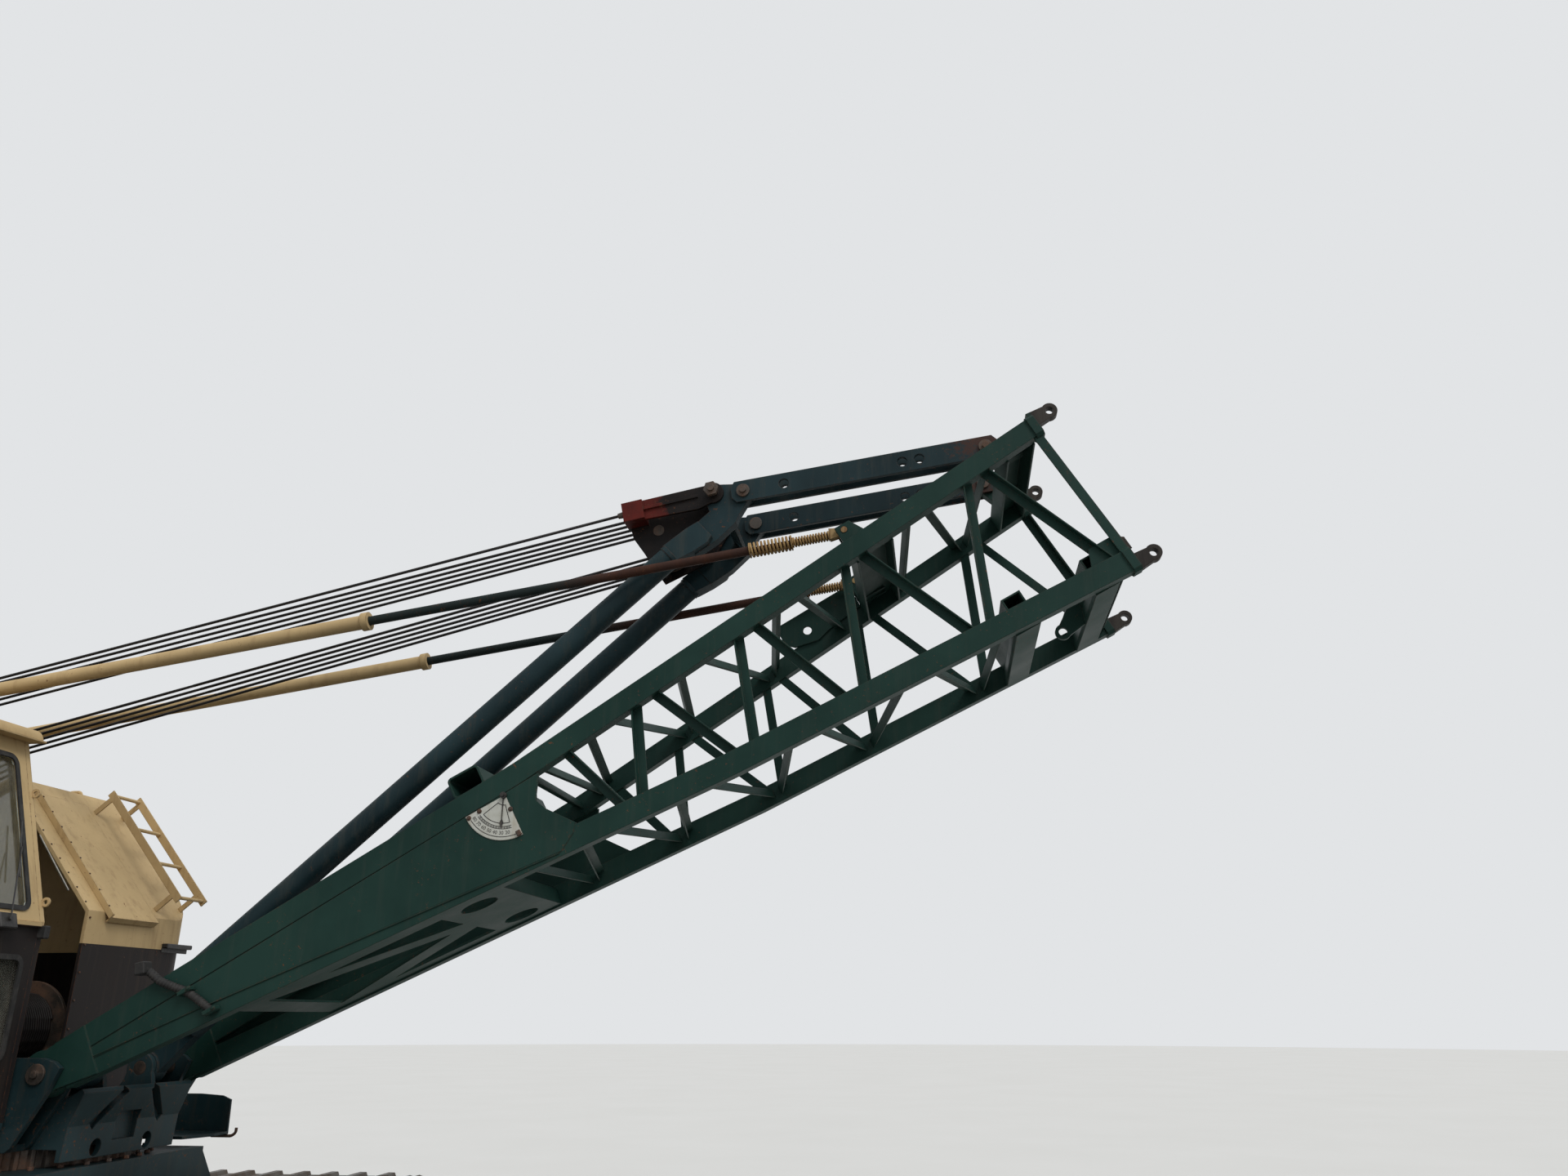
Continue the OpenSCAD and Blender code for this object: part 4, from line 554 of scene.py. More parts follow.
def rope(bm, points, radius, sides=8):
    """A tube through the points, with its length and turn kept as the lay map. radius may be a list."""
    radii = radius if isinstance(radius, list) else [radius] * len(points)
    turns = [math.tau * k / sides for k in range(sides)]
    lay = bm.loops.layers.uv.verify()
    rings, lengths, run = [], [], 0
    for i, point in enumerate(points):
        back = points[i - 1] if i else point
        on = points[i + 1] if i + 1 < len(points) else point
        ahead = (on - back).normalized()
        side = Vector((0, 1, 0)) if abs(ahead.y) < 0.9 else Vector((1, 0, 0))
        up = ahead.cross(side).normalized()
        side = up.cross(ahead)
        run += (point - back).length
        lengths.append(run / ROPE_LAY)
        round_it = [point + radii[i] * (up * math.cos(a) + side * math.sin(a)) for a in turns]
        rings.append([bm.verts.new(at) for at in round_it])
    for i in range(len(rings) - 1):
        for k in range(sides):
            n = (k + 1) % sides
            face = bm.faces.new((rings[i][k], rings[i][n], rings[i + 1][n], rings[i + 1][k]))
            face.smooth = True
            for loop, u, v in zip(face.loops, (i, i, i + 1, i + 1), (k, k + 1, k + 1, k)):
                loop[lay].uv = (lengths[u], v / sides)
    bm.faces.new(rings[0])
    bm.faces.new(rings[-1])


def arc(centre, radius, start, end, y, steps=14):
    """Points of an arc in the XZ plane between two angles in radians."""
    turns = [start + (end - start) * i / steps for i in range(steps + 1)]
    return [Vector((centre.x + radius * math.cos(a), y, centre.z + radius * math.sin(a))) for a in turns]


# %% [markdown]
# Seen from the side, a line leaves one sheave and touches the next along their common tangent. The angle
# of that tangent follows from the distance of the two axes and the difference of the two radii.

# %% Ten lines between the sheaves
FRONT_AXIS = BRIDLE @ Vector((-0.45, 0, -0.13))
FRONT_R = 0.1626  # to the rope's middle in the groove
REAR_R = 0.2501
FRONT_PITCH = 0.078
REAR_PITCH = 0.1
MEET = 0.5  # share of a line that the front half covers
OVERLAP = 0.02
THIN = 0.93  # the rear half's end slips into the front half
THIN_STEPS = 3
STEPS = 24

rope_run = GANTRY_AXIS - FRONT_AXIS
rope_aim = math.atan2(rope_run.z, rope_run.x)
rope_open = math.acos(-(REAR_R - FRONT_R) / rope_run.length)
TOP, BOTTOM = rope_aim - rope_open, rope_aim + rope_open
front_half, rear_half, wraps = bmesh.new(), bmesh.new(), bmesh.new()


def rear_line(front, rear):
    """The rear half of one line, in short steps."""
    share = 1 - MEET + OVERLAP
    points = [front.lerp(rear, MEET - OVERLAP + share * k / STEPS) for k in range(STEPS + 1)]
    rope(rear_half, points, [ROPE_R * THIN if k < THIN_STEPS else ROPE_R for k in range(STEPS + 1)])


for i in range(-2, 3):
    front_y, rear_y = i * FRONT_PITCH, i * REAR_PITCH
    touch = [arc(FRONT_AXIS, FRONT_R, a, a, front_y, 1)[0] for a in (TOP, BOTTOM)]
    leave = [arc(GANTRY_AXIS, REAR_R, a, a, rear_y, 1)[0] for a in (TOP, BOTTOM)]
    front = arc(FRONT_AXIS, FRONT_R, TOP, BOTTOM - math.tau, front_y)
    middle = [a.lerp(b, MEET + OVERLAP) for a, b in zip(touch, leave)]
    rope(front_half, [middle[0], *front, middle[1]], ROPE_R)
    for a, b in zip(touch, leave):
        rear_line(a, b)
    rope(wraps, arc(GANTRY_AXIS, REAR_R, TOP, BOTTOM, rear_y, 18), ROPE_R)
print("rope half angle", round(math.degrees(rope_open), 2), "run", round(rope_run.length, 3), "m")

# %% [markdown]
# The dead end runs beside the five sheaves, from the bridle's red box to an anchor above the gantry's
# shaft. It is added to the same two halves, and these are then made pieces.

# %% The dead end
DEAD_Y = -0.30
dead_front = BRIDLE @ Vector((-0.60, DEAD_Y, 0.02))
dead_rear = Vector((GANTRY_AXIS.x + 0.13, DEAD_Y + 0.02, GANTRY_AXIS.z + 0.27))
rope(front_half, [dead_front, dead_front.lerp(dead_rear, MEET + OVERLAP)], ROPE_R)
rear_line(dead_front, dead_rear)

piece("boom_hoist_ropes_front", front_half, "rope_steel", "bridle")
rear_ropes = piece("boom_hoist_ropes_rear", rear_half, "rope_steel")
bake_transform(rear_ropes)
piece("gantry_rope_wraps", wraps, "rope_steel", "upper")

# %% [markdown]
# A short ferrule holds the dead end in the bridle's red box, and a socket holds its other end to the
# gantry. Both are turned steel, so each is one profile spun round the rope's line.

# %% Rope sockets
def lathe(bm, profile, pose=Matrix(), segments=24):
    """A turned shape about Z from a row of radius, height pairs. It closes on the axis or on itself."""
    verts = [bm.verts.new((r, 0, z)) for r, z in profile]
    edges = [bm.edges.new(pair) for pair in zip(verts, verts[1:])]
    turn = {"axis": (0, 0, 1), "cent": (0, 0, 0), "angle": math.tau, "steps": segments}
    made = bmesh.ops.spin(bm, geom=verts + edges, use_merge=True, **turn)
    last = {v for v in made["geom_last"] if isinstance(v, bmesh.types.BMVert)}
    stack = list({v for e in edges for v in e.verts} | last)
    linked = set()
    while stack:
        vert = stack.pop()
        if vert in linked:
            continue
        linked.add(vert)
        stack.extend(edge.other_vert(vert) for edge in vert.link_edges)
    bmesh.ops.transform(bm, verts=list(linked), matrix=pose)
    bmesh.ops.remove_doubles(bm, verts=list(linked), dist=0.00005)


def block(bm, low, high, pose=Matrix(), soft=0.003, segments=1):
    """A box between two corners with eased edges. It returns the faces on the edges."""
    low, high = Vector(low), Vector(high)
    size = high - low
    place = pose @ Matrix.Translation((low + high) / 2) @ Matrix.Diagonal((*size, 1))
    verts = bmesh.ops.create_cube(bm, size=1, matrix=place)["verts"]
    edges = list({edge for vert in verts for edge in vert.link_edges})
    settings = {"segments": segments, "profile": 0.5, "affect": "EDGES", "material": -1}
    return bmesh.ops.bevel(bm, geom=edges, offset=min(soft, min(size) / 3), **settings)["faces"]


sockets = bmesh.new()
ferrule = [(0.012, 0.115), (0.02, 0.11), (0.026, 0.05), (0.026, 0.0), (0, -0.002)]
lathe(sockets, ferrule, aim(dead_front, dead_rear), 16)
piece("bridle_rope_socket", sockets, "bare_steel", "bridle")
anchor = bmesh.new()
anchor_aim = aim(dead_rear, dead_front)
lathe(anchor, [(0.012, 0.22), (0.024, 0.215), (0.034, 0.05), (0.034, 0.0), (0, -0.002)], anchor_aim, 16)
block(anchor, (-0.014, -0.032, -0.32), (0.014, 0.032, 0.01), anchor_aim)
piece("gantry_rope_socket", anchor, "bare_steel", "upper")

# %% [markdown]
# The hoist drums behind the boom's foot carry one layer of rope on each side of their middle flange. Each
# layer is a round wire that climbs by its own thickness with every turn, which is a spin with a rise.

# %% Rope layers on the hoist drums
def coil(bm, radius, wire, turns, long, pose=Matrix(), steps=12, sides=8):
    """A round wire wound about Z into a helix."""
    ring = bmesh.ops.create_circle(bm, cap_ends=True, segments=sides, radius=wire)["verts"]
    stand = Matrix.Translation((radius, 0, 0)) @ Matrix.Rotation(math.radians(90), 4, "X")
    bmesh.ops.transform(bm, verts=ring, matrix=stand)
    face = ring[0].link_faces[0]
    before = set(bm.verts)
    total = max(3, round(turns * steps))
    turn = {"axis": (0, 0, 1), "cent": (0, 0, 0), "angle": math.tau * turns, "steps": total}
    rise = (0, 0, long / total)
    bmesh.ops.spin(bm, geom=[face, *face.edges, *ring], dvec=rise, use_merge=False, **turn)
    made = [v for v in bm.verts if v not in before] + [v for v in ring if v.is_valid]
    bmesh.ops.transform(bm, verts=list(set(made)), matrix=pose)


DRUM_PLACES = (-0.12, -1.15)
DRUM_Z = 2.0
DRUM_R = 0.23
DRUM_STARTS = (-0.425, 0.03)
DRUM_RUN = 0.395
layers = bmesh.new()
for x in DRUM_PLACES:
    for y in DRUM_STARTS:
        turn = Matrix.Translation((x, y, DRUM_Z)) @ Matrix.Rotation(math.radians(-90), 4, "X")
        coil(layers, DRUM_R + ROPE_R, ROPE_R, DRUM_RUN / (2 * ROPE_R), DRUM_RUN, turn, 20, 6)
piece("drum_rope_layers", layers, "rope_steel", "upper")

# %% [markdown]
# ## Backstop springs
#
# Each backstop pushes on the boom through two compression springs in a row, a slim one and a stout one.
# The construction model has them as plain turned sleeves. A round wire swept round the rod while it climbs
# gives the true winding, and flat washers close its ends.

# %% Wind the springs
WINDINGS = ((0.105, 0.258, 0.029, 0.007, 12), (0.363, 0.300, 0.046, 0.008, 11))
WASHER = 0.008
ROD_R = 0.0215
springs = bmesh.new()
for y in (-0.5, 0.5):
    for start, long, radius, wire, turns in WINDINGS:
        pose = STOP @ Matrix.Translation((-start, y, 0)) @ Matrix.Rotation(math.radians(-90), 4, "Y")
        inner = pose @ Matrix.Translation((0, 0, wire + WASHER / 2))
        coil(springs, radius, wire, turns, long - 2 * wire - WASHER, inner, 20, 8)
        for end in (0.001, long - WASHER - 0.001):
            outer, top = radius + wire, end + WASHER
            lathe(springs, [(ROD_R, end), (outer, end), (outer, top), (ROD_R, top), (ROD_R, end)], pose)
wound = piece("backstop_spring_windings", springs, "spring_paint", "backstop_rods")
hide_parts("backstop_springs")

# %% [markdown]
# ## Boom angle indicator
#
# The dial is an enamelled quarter plate. A pendulum hangs from its corner and shows the boom's angle on
# the scale by its rim. The lines are printed, so they are the thinnest of plates: two arcs, a tick for
# every degree, wider at every fifth, and the numbers of the tens.

# %% Lines and numbers in print
DIAL = BOOM @ Matrix.Translation((3.275, -0.7143, 0.105))
INK = (0, -0.0007, 0)


def thicken(bm, faces, push):
    """Give flat faces a thickness."""
    raised = bmesh.ops.extrude_face_region(bm, geom=faces, use_keep_orig=True)["geom"]
    top = [v for v in raised if isinstance(v, bmesh.types.BMVert)]
    bmesh.ops.translate(bm, verts=top, vec=push)


def plate(bm, points, thick, pose=Matrix()):
    """A flat plate from its outline. thick is the vector from one face to the other."""
    face = bm.faces.new([bm.verts.new(pose @ Vector(p)) for p in points])
    thicken(bm, [face], pose.to_3x3() @ Vector(thick))


def dial_point(radius, degrees):
    """A point of the dial's face. 0 degrees is straight down from the corner in the boom's frame."""
    turn = math.radians(degrees)
    return Vector((-radius * math.sin(turn), 0, -radius * math.cos(turn)))


def printed_arc(bm, inner, outer, start, end, steps=24):
    """A printed line round the corner."""
    turns = [start + (end - start) * i / steps for i in range(steps + 1)]
    low = [dial_point(inner, a) for a in turns]
    high = [dial_point(outer, a) for a in reversed(turns)]
    plate(bm, low + high, INK, DIAL)


def take_curve(bm, curve, pose=Matrix()):
    """Turn a curve or a text into faces of the bmesh."""
    holder = bpy.data.objects.new(curve.name, curve)
    bpy.context.scene.collection.objects.link(holder)
    mesh = bpy.data.meshes.new_from_object(holder)
    mesh.transform(pose)
    bm.from_mesh(mesh)
    bpy.data.objects.remove(holder)
    bpy.data.meshes.remove(mesh)
    bpy.data.curves.remove(curve)


def printed_number(bm, text, radius, degrees, tall):
    """A number that stands on the scale with its head to the corner."""
    curve = bpy.data.curves.new("number", "FONT")
    curve.body = text
    curve.size = tall
    curve.align_x = curve.align_y = "CENTER"
    curve.extrude = 0.0004
    turn = math.radians(degrees)
    right = Vector((math.cos(turn), 0, -math.sin(turn)))
    up = Vector((math.sin(turn), 0, math.cos(turn)))
    pose = Matrix((right, up, (0, -1, 0))).transposed().to_4x4()
    pose.translation = dial_point(radius, degrees) + Vector((0, -curve.extrude, 0))
    take_curve(bm, curve, DIAL @ pose)


print("dial at", [round(v, 3) for v in DIAL.translation])

# %% [markdown]
# The print is laid out in degrees round the corner: the rim line, the two lines of the scale and a sector
# nearer to the corner, whose sides lean in a little.

# %% Print the dial
SECTOR_LOW, SECTOR_HIGH = 0.062, 0.176
SCALE_LOW, SCALE_HIGH = 0.2, 0.213
ink = bmesh.new()
for inner, outer, start, end in (
    (0.261, 0.2655, 8, 82),
    (SCALE_HIGH, SCALE_HIGH + 0.003, 12, 80),
    (SCALE_LOW - 0.003, SCALE_LOW, 12, 80),
    (SECTOR_LOW, SECTOR_LOW + 0.005, 22, 68),
    (SECTOR_HIGH, SECTOR_HIGH + 0.005, 14, 76),
):
    printed_arc(ink, inner, outer, start, end)
for turn, lean in ((14, 8), (76, -8)):
    low, high = dial_point(SECTOR_LOW, turn + lean), dial_point(SECTOR_HIGH + 0.003, turn)
    wide = (high - low).normalized().cross(Vector((0, 1, 0))) * 0.0025
    plate(ink, [low - wide, high - wide, high + wide, low + wide], INK, DIAL)
for tick in range(15, 80):
    wide = 0.4 if tick % 5 == 0 else 0.15
    printed_arc(ink, SCALE_LOW, SCALE_HIGH, tick - wide, tick + wide, 1)
for ten in range(20, 81, 10):
    printed_number(ink, str(ten), 0.239, ten, 0.031)
piece("dial_print", ink, "dial_ink", "boom")

# %% [markdown]
# The pendulum hangs plumb while the boom is parked, so it is turned back by the boom's own angle. The
# dial is held by four hexagon bolts and a clip at its rim. A bolt's head is a six-sided bar on a thin
# round washer.

# %% The dial's pendulum and bolts
def bar(bm, start, end, radius, sides=12, pose=Matrix(), tip=None):
    """A round bar, or a cone frustum with another radius at its tip."""
    start, end = Vector(start), Vector(end)
    long = (end - start).length
    place = pose @ aim(start, end) @ Matrix.Translation((0, 0, long / 2))
    radii = {"radius1": radius, "radius2": radius if tip is None else tip}
    bmesh.ops.create_cone(bm, cap_ends=True, segments=sides, depth=long, matrix=place, **radii)


def bolt(bm, at, normal, across=0.024, tall=0.013, pose=Matrix(), washer=True):
    """A hexagon head on a washer."""
    at, normal = Vector(at), Vector(normal).normalized()
    low = at
    if washer:
        low = at + normal * across * 0.12
        bar(bm, at - normal * 0.001, low, across * 0.95, 12, pose)
    bar(bm, low, low + normal * tall, across * 0.577, 6, pose, across * 0.5)


needle = bmesh.new()
hang = DIAL @ Matrix.Translation((-0.009, -0.0045, 0.001))
hang = hang @ Matrix.Rotation(math.radians(BOOM_ANGLE), 4, "Y")
half = [(0.004, -0.015), (0.003, -0.150), (0.013, -0.172)]
outline = half + [(0, -0.205)] + [(-x, z) for x, z in reversed(half)]
plate(needle, [(x, 0, z) for x, z in outline], (0, -0.002, 0), hang)
bar(needle, (0, 0.004, 0), (0, -0.014, 0), 0.021, 20, hang)
bolt(needle, (0, -0.013, 0), (0, -1, 0), 0.022, 0.011, hang)
piece("dial_pendulum", needle, "dial_ink", "boom")
dial_bolts = bmesh.new()
for x, z in ((-0.268, -0.018), (-0.02, -0.262), (-0.19, -0.012), (-0.006, -0.10)):
    bolt(dial_bolts, (x, 0, z), (0, -1, 0), 0.017, 0.009, DIAL)
block(dial_bolts, (-0.034, -0.014, -0.284), (-0.004, 0, -0.247), DIAL)
piece("dial_bolts", dial_bolts, "rusty_bolt", "boom")

# %% [markdown]
# ## Window rubbers
#
# Each pane sits in a black rubber profile that is pressed over the edge of the opening, so outside one sees
# a soft dark frame about three centimetres wide. It is a rounded rectangle: a quad whose corners are
# bevelled, inset once for the frame's width, opened in the middle and given thickness.

# %% The rubber profile
RUBBER_W = 0.032
RUBBER_T = 0.012
CORNER = 0.06


def gasket(bm, low, high, pose):
    """A rubber frame round an opening given by two corners in the XY plane of the pose."""
    reach = RUBBER_W * 0.45
    x0, y0, x1, y1 = low[0] - reach, low[1] - reach, high[0] + reach, high[1] + reach
    part = bmesh.new()
    verts = [part.verts.new((x, y, 0)) for x, y in ((x0, y0), (x1, y0), (x1, y1), (x0, y1))]
    part.faces.new(verts)
    settings = {"segments": 5, "profile": 0.5, "affect": "VERTICES", "material": -1}
    bmesh.ops.bevel(part, geom=verts, offset=CORNER + reach, **settings)
    pane = list(part.faces)
    settings = {"use_even_offset": True, "use_boundary": True}
    bmesh.ops.inset_region(part, faces=pane, thickness=RUBBER_W, **settings)
    bmesh.ops.delete(part, geom=pane, context="FACES")
    thicken(part, list(part.faces), (0, 0, RUBBER_T))
    part.transform(pose)
    mesh = bpy.data.meshes.new("gasket")
    part.to_mesh(mesh)
    part.free()
    bm.from_mesh(mesh)
    bpy.data.meshes.remove(mesh)


def facing(origin, across, up=(0, 0, 1)):
    """The frame with X across, Y up and Z out of a wall."""
    across, up = Vector(across).normalized(), Vector(up).normalized()
    pose = Matrix((across, up, across.cross(up))).transposed().to_4x4()
    pose.translation = Vector(origin)
    return pose


print("rubber of", RUBBER_W, "by", RUBBER_T, "m")

# %% [markdown]
# Each of the cab's walls gets a frame, so that a pane's corners read as width and height on that wall.
# The front wall is upright below the sill and leans back above it.

# %% Rubbers round the panes
RAKE = math.radians(18.5)
RAKE_UP = (-math.sin(RAKE), 0, math.cos(RAKE))
inner_wall = facing((0, -0.792, 0), (-1, 0, 0))
outer_wall = facing((0, -1.498, 0), (1, 0, 0))
raked_wall = facing((0.868, 0, 2.65), (0, 1, 0), RAKE_UP)
foot_wall = facing((0.868, 0, 0), (0, 1, 0))
back_wall = facing((-0.898, 0, 0), (0, -1, 0))
cab_rubbers = bmesh.new()
gasket(cab_rubbers, (0.33, 2.55), (0.70, 3.55), inner_wall)
gasket(cab_rubbers, (-0.33, 2.55), (0.19, 3.55), inner_wall)
gasket(cab_rubbers, (-0.76, 2.55), (-0.40, 3.55), outer_wall)
gasket(cab_rubbers, (-1.3697, 0.07), (-0.9203, 1.1037), raked_wall)
gasket(cab_rubbers, (-1.3697, 1.83), (-0.9203, 2.43), foot_wall)
gasket(cab_rubbers, (0.9503, 2.65), (1.3397, 3.35), back_wall)
piece("cab_window_rubbers", cab_rubbers, "rubber", "upper")
door_rubber = bmesh.new()
gasket(door_rubber, (-0.16, 2.55), (0.47, 3.60), outer_wall)
piece("cab_door_rubber", door_rubber, "rubber", "cab_door")

# %% [markdown]
# ## The cab's fittings
#
# The door has a handle and a pressed bead round its edge. Both ride the door, so that they swing with it.
# A bent bar is a curve with a round profile, because a curve keeps its thickness through the bends.

# %% The door's handle and beads
def rounded_path(points, fillet, steps=4):
    """The points with each inner corner swapped for a short arc."""
    path = [points[0]]
    for before, corner, after in zip(points, points[1:], points[2:]):
        back, on = before - corner, after - corner
        reach = min(fillet, back.length * 0.45, on.length * 0.45)
        start, end = corner + back.normalized() * reach, corner + on.normalized() * reach
        for i in range(steps + 1):
            t = i / steps
            path.append(start * (1 - t) ** 2 + corner * 2 * t * (1 - t) + end * t * t)
    path.append(points[-1])
    return path


def bent_bar(bm, points, radius, sides=10, fillet=0.04):
    """A round bar through several points, rounded at its bends."""
    curve = bpy.data.curves.new("path", "CURVE")
    curve.dimensions = "3D"
    curve.bevel_depth = radius
    curve.bevel_resolution = max(0, sides // 4 - 1)
    curve.use_fill_caps = True
    spline = curve.splines.new("POLY")
    path = rounded_path([Vector(p) for p in points], fillet)
    spline.points.add(len(path) - 1)
    for point, at in zip(spline.points, path):
        point.co = (*at, 1)
    take_curve(bm, curve)


DOOR_FACE = -1.499
BEAD_FACE = -1.506
door_trim = bmesh.new()
block(door_trim, (0.40, -1.512, 2.36), (0.53, -1.498, 2.44), soft=0.004)
bent_bar(door_trim, [(0.42, -1.508, 2.40), (0.42, -1.555, 2.40), (0.52, -1.555, 2.40)], 0.009)
piece("cab_door_handle", door_trim, "bare_steel", "cab_door")
door_rim = bmesh.new()
for x0, x1, z0, z1 in (
    (-0.235, -0.215, 1.585, 3.695),
    (0.525, 0.545, 1.585, 3.695),
    (-0.215, 0.525, 3.675, 3.695),
    (-0.215, 0.525, 1.585, 1.605),
    (-0.215, 0.40, 2.445, 2.465),
):
    block(door_rim, (x0, BEAD_FACE, z0), (x1, DOOR_FACE, z1), soft=0.002)
piece("cab_door_beads", door_rim, "cream_paint", "cab_door")

# %% [markdown]
# Two hand rails and two steps under the door let the operator climb in, because the cab's floor lies 1.5 m
# above the ground. A wiper with its motor box clears the raked window.

# %% Rails, steps and wiper
rails = bmesh.new()
for x, top in ((0.62, 2.60), (-0.31, 3.10)):
    bent_bar(rails, [(x, -1.49, 2.00), (x, -1.56, 2.00), (x, -1.56, top), (x, -1.49, top)], 0.013)
for x in (-0.10, 0.42):
    block(rails, (x - 0.02, -1.50, 1.10), (x + 0.02, -1.48, 1.52))
for z in (1.12, 1.32):
    block(rails, (-0.12, -1.60, z), (0.44, -1.46, z + 0.025), soft=0.004)
piece("cab_rails_and_steps", rails, "frame_paint", "upper")

CAB_MIDDLE = -1.145
wiper = bmesh.new()
at_rake = raked_wall @ Matrix.Translation((CAB_MIDDLE, 0, 0.012))
block(wiper, (-0.07, -0.075, -0.01), (0.07, 0.02, 0.03), at_rake, 0.006)
bar(wiper, (0, -0.02, 0.03), (0, -0.02, 0.045), 0.014, 12, at_rake)
bar(wiper, (0, -0.02, 0.040), (0.16, 0.46, 0.028), 0.005, 6, at_rake)
bar(wiper, (0.13, 0.26, 0.018), (0.19, 0.64, 0.018), 0.006, 6, at_rake)
piece("cab_wiper", wiper, "black_vinyl", "upper")

# %% [markdown]
# The seat is a steel pedestal with two vinyl cushions. A cushion is a block with wide, round edges. It
# takes the place of the plain seat of the construction model.

# %% The seat
SEAT = Matrix.Translation((-0.26, CAB_MIDDLE, 1.5206))
CUSHION_EDGE = 0.035
seat = bmesh.new()
block(seat, (-0.12, -0.11, 0), (0.12, 0.11, 0.33), SEAT, 0.006)
for low, high in (
    ((-0.25, -0.23, 0.33), (0.25, 0.23, 0.44)),
    ((-0.30, -0.23, 0.40), (-0.19, 0.23, 0.96)),
):
    for face in block(seat, low, high, SEAT, CUSHION_EDGE, 4):
        face.smooth = True
padded_seat = piece("operator_seat", seat, "black_vinyl", "upper")
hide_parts("cab_seat")

# %% [markdown]
# Each control lever ends in a moulded ball. A half circle spun about the lever's line gives it.

# %% Lever knobs
KNOB_R = 0.024
knobs = bmesh.new()
angles = [math.pi * k / 6 for k in range(1, 6)]
ball = [(KNOB_R * math.sin(a), KNOB_R * (1 - math.cos(a))) for a in angles]
ball = [(0, 0), *ball, (0, 2 * KNOB_R)]
for y in (-0.18, -0.09, 0, 0.09, 0.18):
    lathe(knobs, ball, Matrix.Translation((0.2747, CAB_MIDDLE + y, 2.335)), 12)
piece("lever_knobs", knobs, "black_vinyl", "upper")

# %% [markdown]
# ## The house's sheet metal
#
# The house is bolted together from pressed panels. Doors with lift-off hinges open along both sides. The
# seams, hinges and bolts are what gives such plain walls their size to the eye. A leaf is a block with a
# second, smaller block on it for its pressed middle.

# %% Doors, hinges and latches
HOUSE_SIDE = 1.5
DOOR_T = 0.014


def house_door(bm, x0, x1, z0, z1, side, hinge_x):
    """A pressed door leaf with a raised middle on the house's side (1 is left, -1 is right)."""
    face = facing((0, (HOUSE_SIDE - 0.001) * side, 0), (-side, 0, 0))
    low, high = sorted((-side * x0, -side * x1))
    block(bm, (low, z0, 0), (high, z1, DOOR_T), face, 0.005)
    inner_low = (low + 0.07, z0 + 0.08, DOOR_T - 0.002)
    block(bm, inner_low, (high - 0.07, z1 - 0.08, DOOR_T + 0.006), face, 0.006)
    for z in (z0 + 0.16 * (z1 - z0), z0 + 0.84 * (z1 - z0)):
        ends = [(-side * hinge_x, z + rise, DOOR_T) for rise in (-0.05, 0.05)]
        bar(bm, *ends, 0.011, 10, face)


def door_latch(bm, x, z, side):
    """A lever latch on its round plate."""
    face = facing((x, (HOUSE_SIDE + DOOR_T) * side, z), (-side, 0, 0))
    bar(bm, (0, 0, 0), (0, 0, 0.012), 0.042, 18, face)
    bar(bm, (0, 0, 0.01), (0, 0, 0.035), 0.012, 10, face)
    block(bm, (-0.014, -0.075, 0.026), (0.014, 0.015, 0.038), face, 0.004)


LEAVES = (  # x0, x1, z0, z1, sides, hinge on the front edge
    (-3.14, -2.44, 2.66, 3.62, (1, -1), False),
    (-2.41, -1.71, 2.66, 3.62, (1, -1), True),
    (-1.60, -0.98, 1.62, 3.62, (1, -1), False),
    (-0.95, -0.33, 1.62, 3.62, (1,), True),
)
leaves, latches = bmesh.new(), bmesh.new()
for x0, x1, z0, z1, sides, front in LEAVES:
    for side in sides:
        house_door(leaves, x0, x1, z0, z1, side, x1 + 0.012 if front else x0 - 0.012)
        door_latch(latches, x0 + 0.10 if front else x1 - 0.10, (z0 + z1) / 2 - 0.1, side)
print("leaves", sum(len(row[4]) for row in LEAVES))

# %% [markdown]
# Three strips run along each side: a drip rail over the doors, the roof panel's lap and the lap on the
# deck. On the right they end behind the cab, and on the left where the slope begins.

# %% Strips along the sides
STRIPS = ((3.66, 3.672, 0.03, -0.36), (3.745, 3.80, 0.006, -0.48), (1.50, 1.56, 0.006, 0.12))
STRIP_REAR = -3.29
CAB_REAR = -0.96
for side in (1, -1):
    face = facing((0, (HOUSE_SIDE - 0.001) * side, 0), (-side, 0, 0))
    for z0, z1, proud, x1 in STRIPS:
        x1 = x1 if side > 0 else CAB_REAR
        low, high = sorted((-side * STRIP_REAR, -side * x1))
        block(leaves, (low, z0, 0), (high, z1, proud), face, 0.002)
piece("house_doors", leaves, "cream_paint", "upper")
piece("house_latches", latches, "bare_steel", "upper")

# %% [markdown]
# Louvres at the rear let the radiator's air out. Flat seams cover the joints of the roof's panels, and
# three bent eyes serve to lift the house off.

# %% Rear louvres, roof seams and lifting eyes
REAR_X = -3.3253
ROOF_Z = 3.809
louvres = bmesh.new()
rear = facing((REAR_X + 0.001, 0, 0), (0, -1, 0))
for y0, y1 in ((-1.30, -0.06), (0.06, 1.30)):
    block(louvres, (y0, 2.60, 0), (y1, 3.66, 0.012), rear, 0.004)
    for i in range(11):
        z = 2.69 + i * 0.082
        slat = [(y0 + 0.10, z, 0.011), (y0 + 0.10, z + 0.05, 0.011), (y0 + 0.10, z, 0.038)]
        plate(louvres, slat, (y1 - y0 - 0.20, 0, 0), rear)
for x in (-2.75, -2.10, -1.20):
    for y0, y1 in ((0.66, 1.48), (-1.48, -0.66)):
        block(louvres, (x, y0, ROOF_Z), (x + 0.05, y1, ROOF_Z + 0.009))
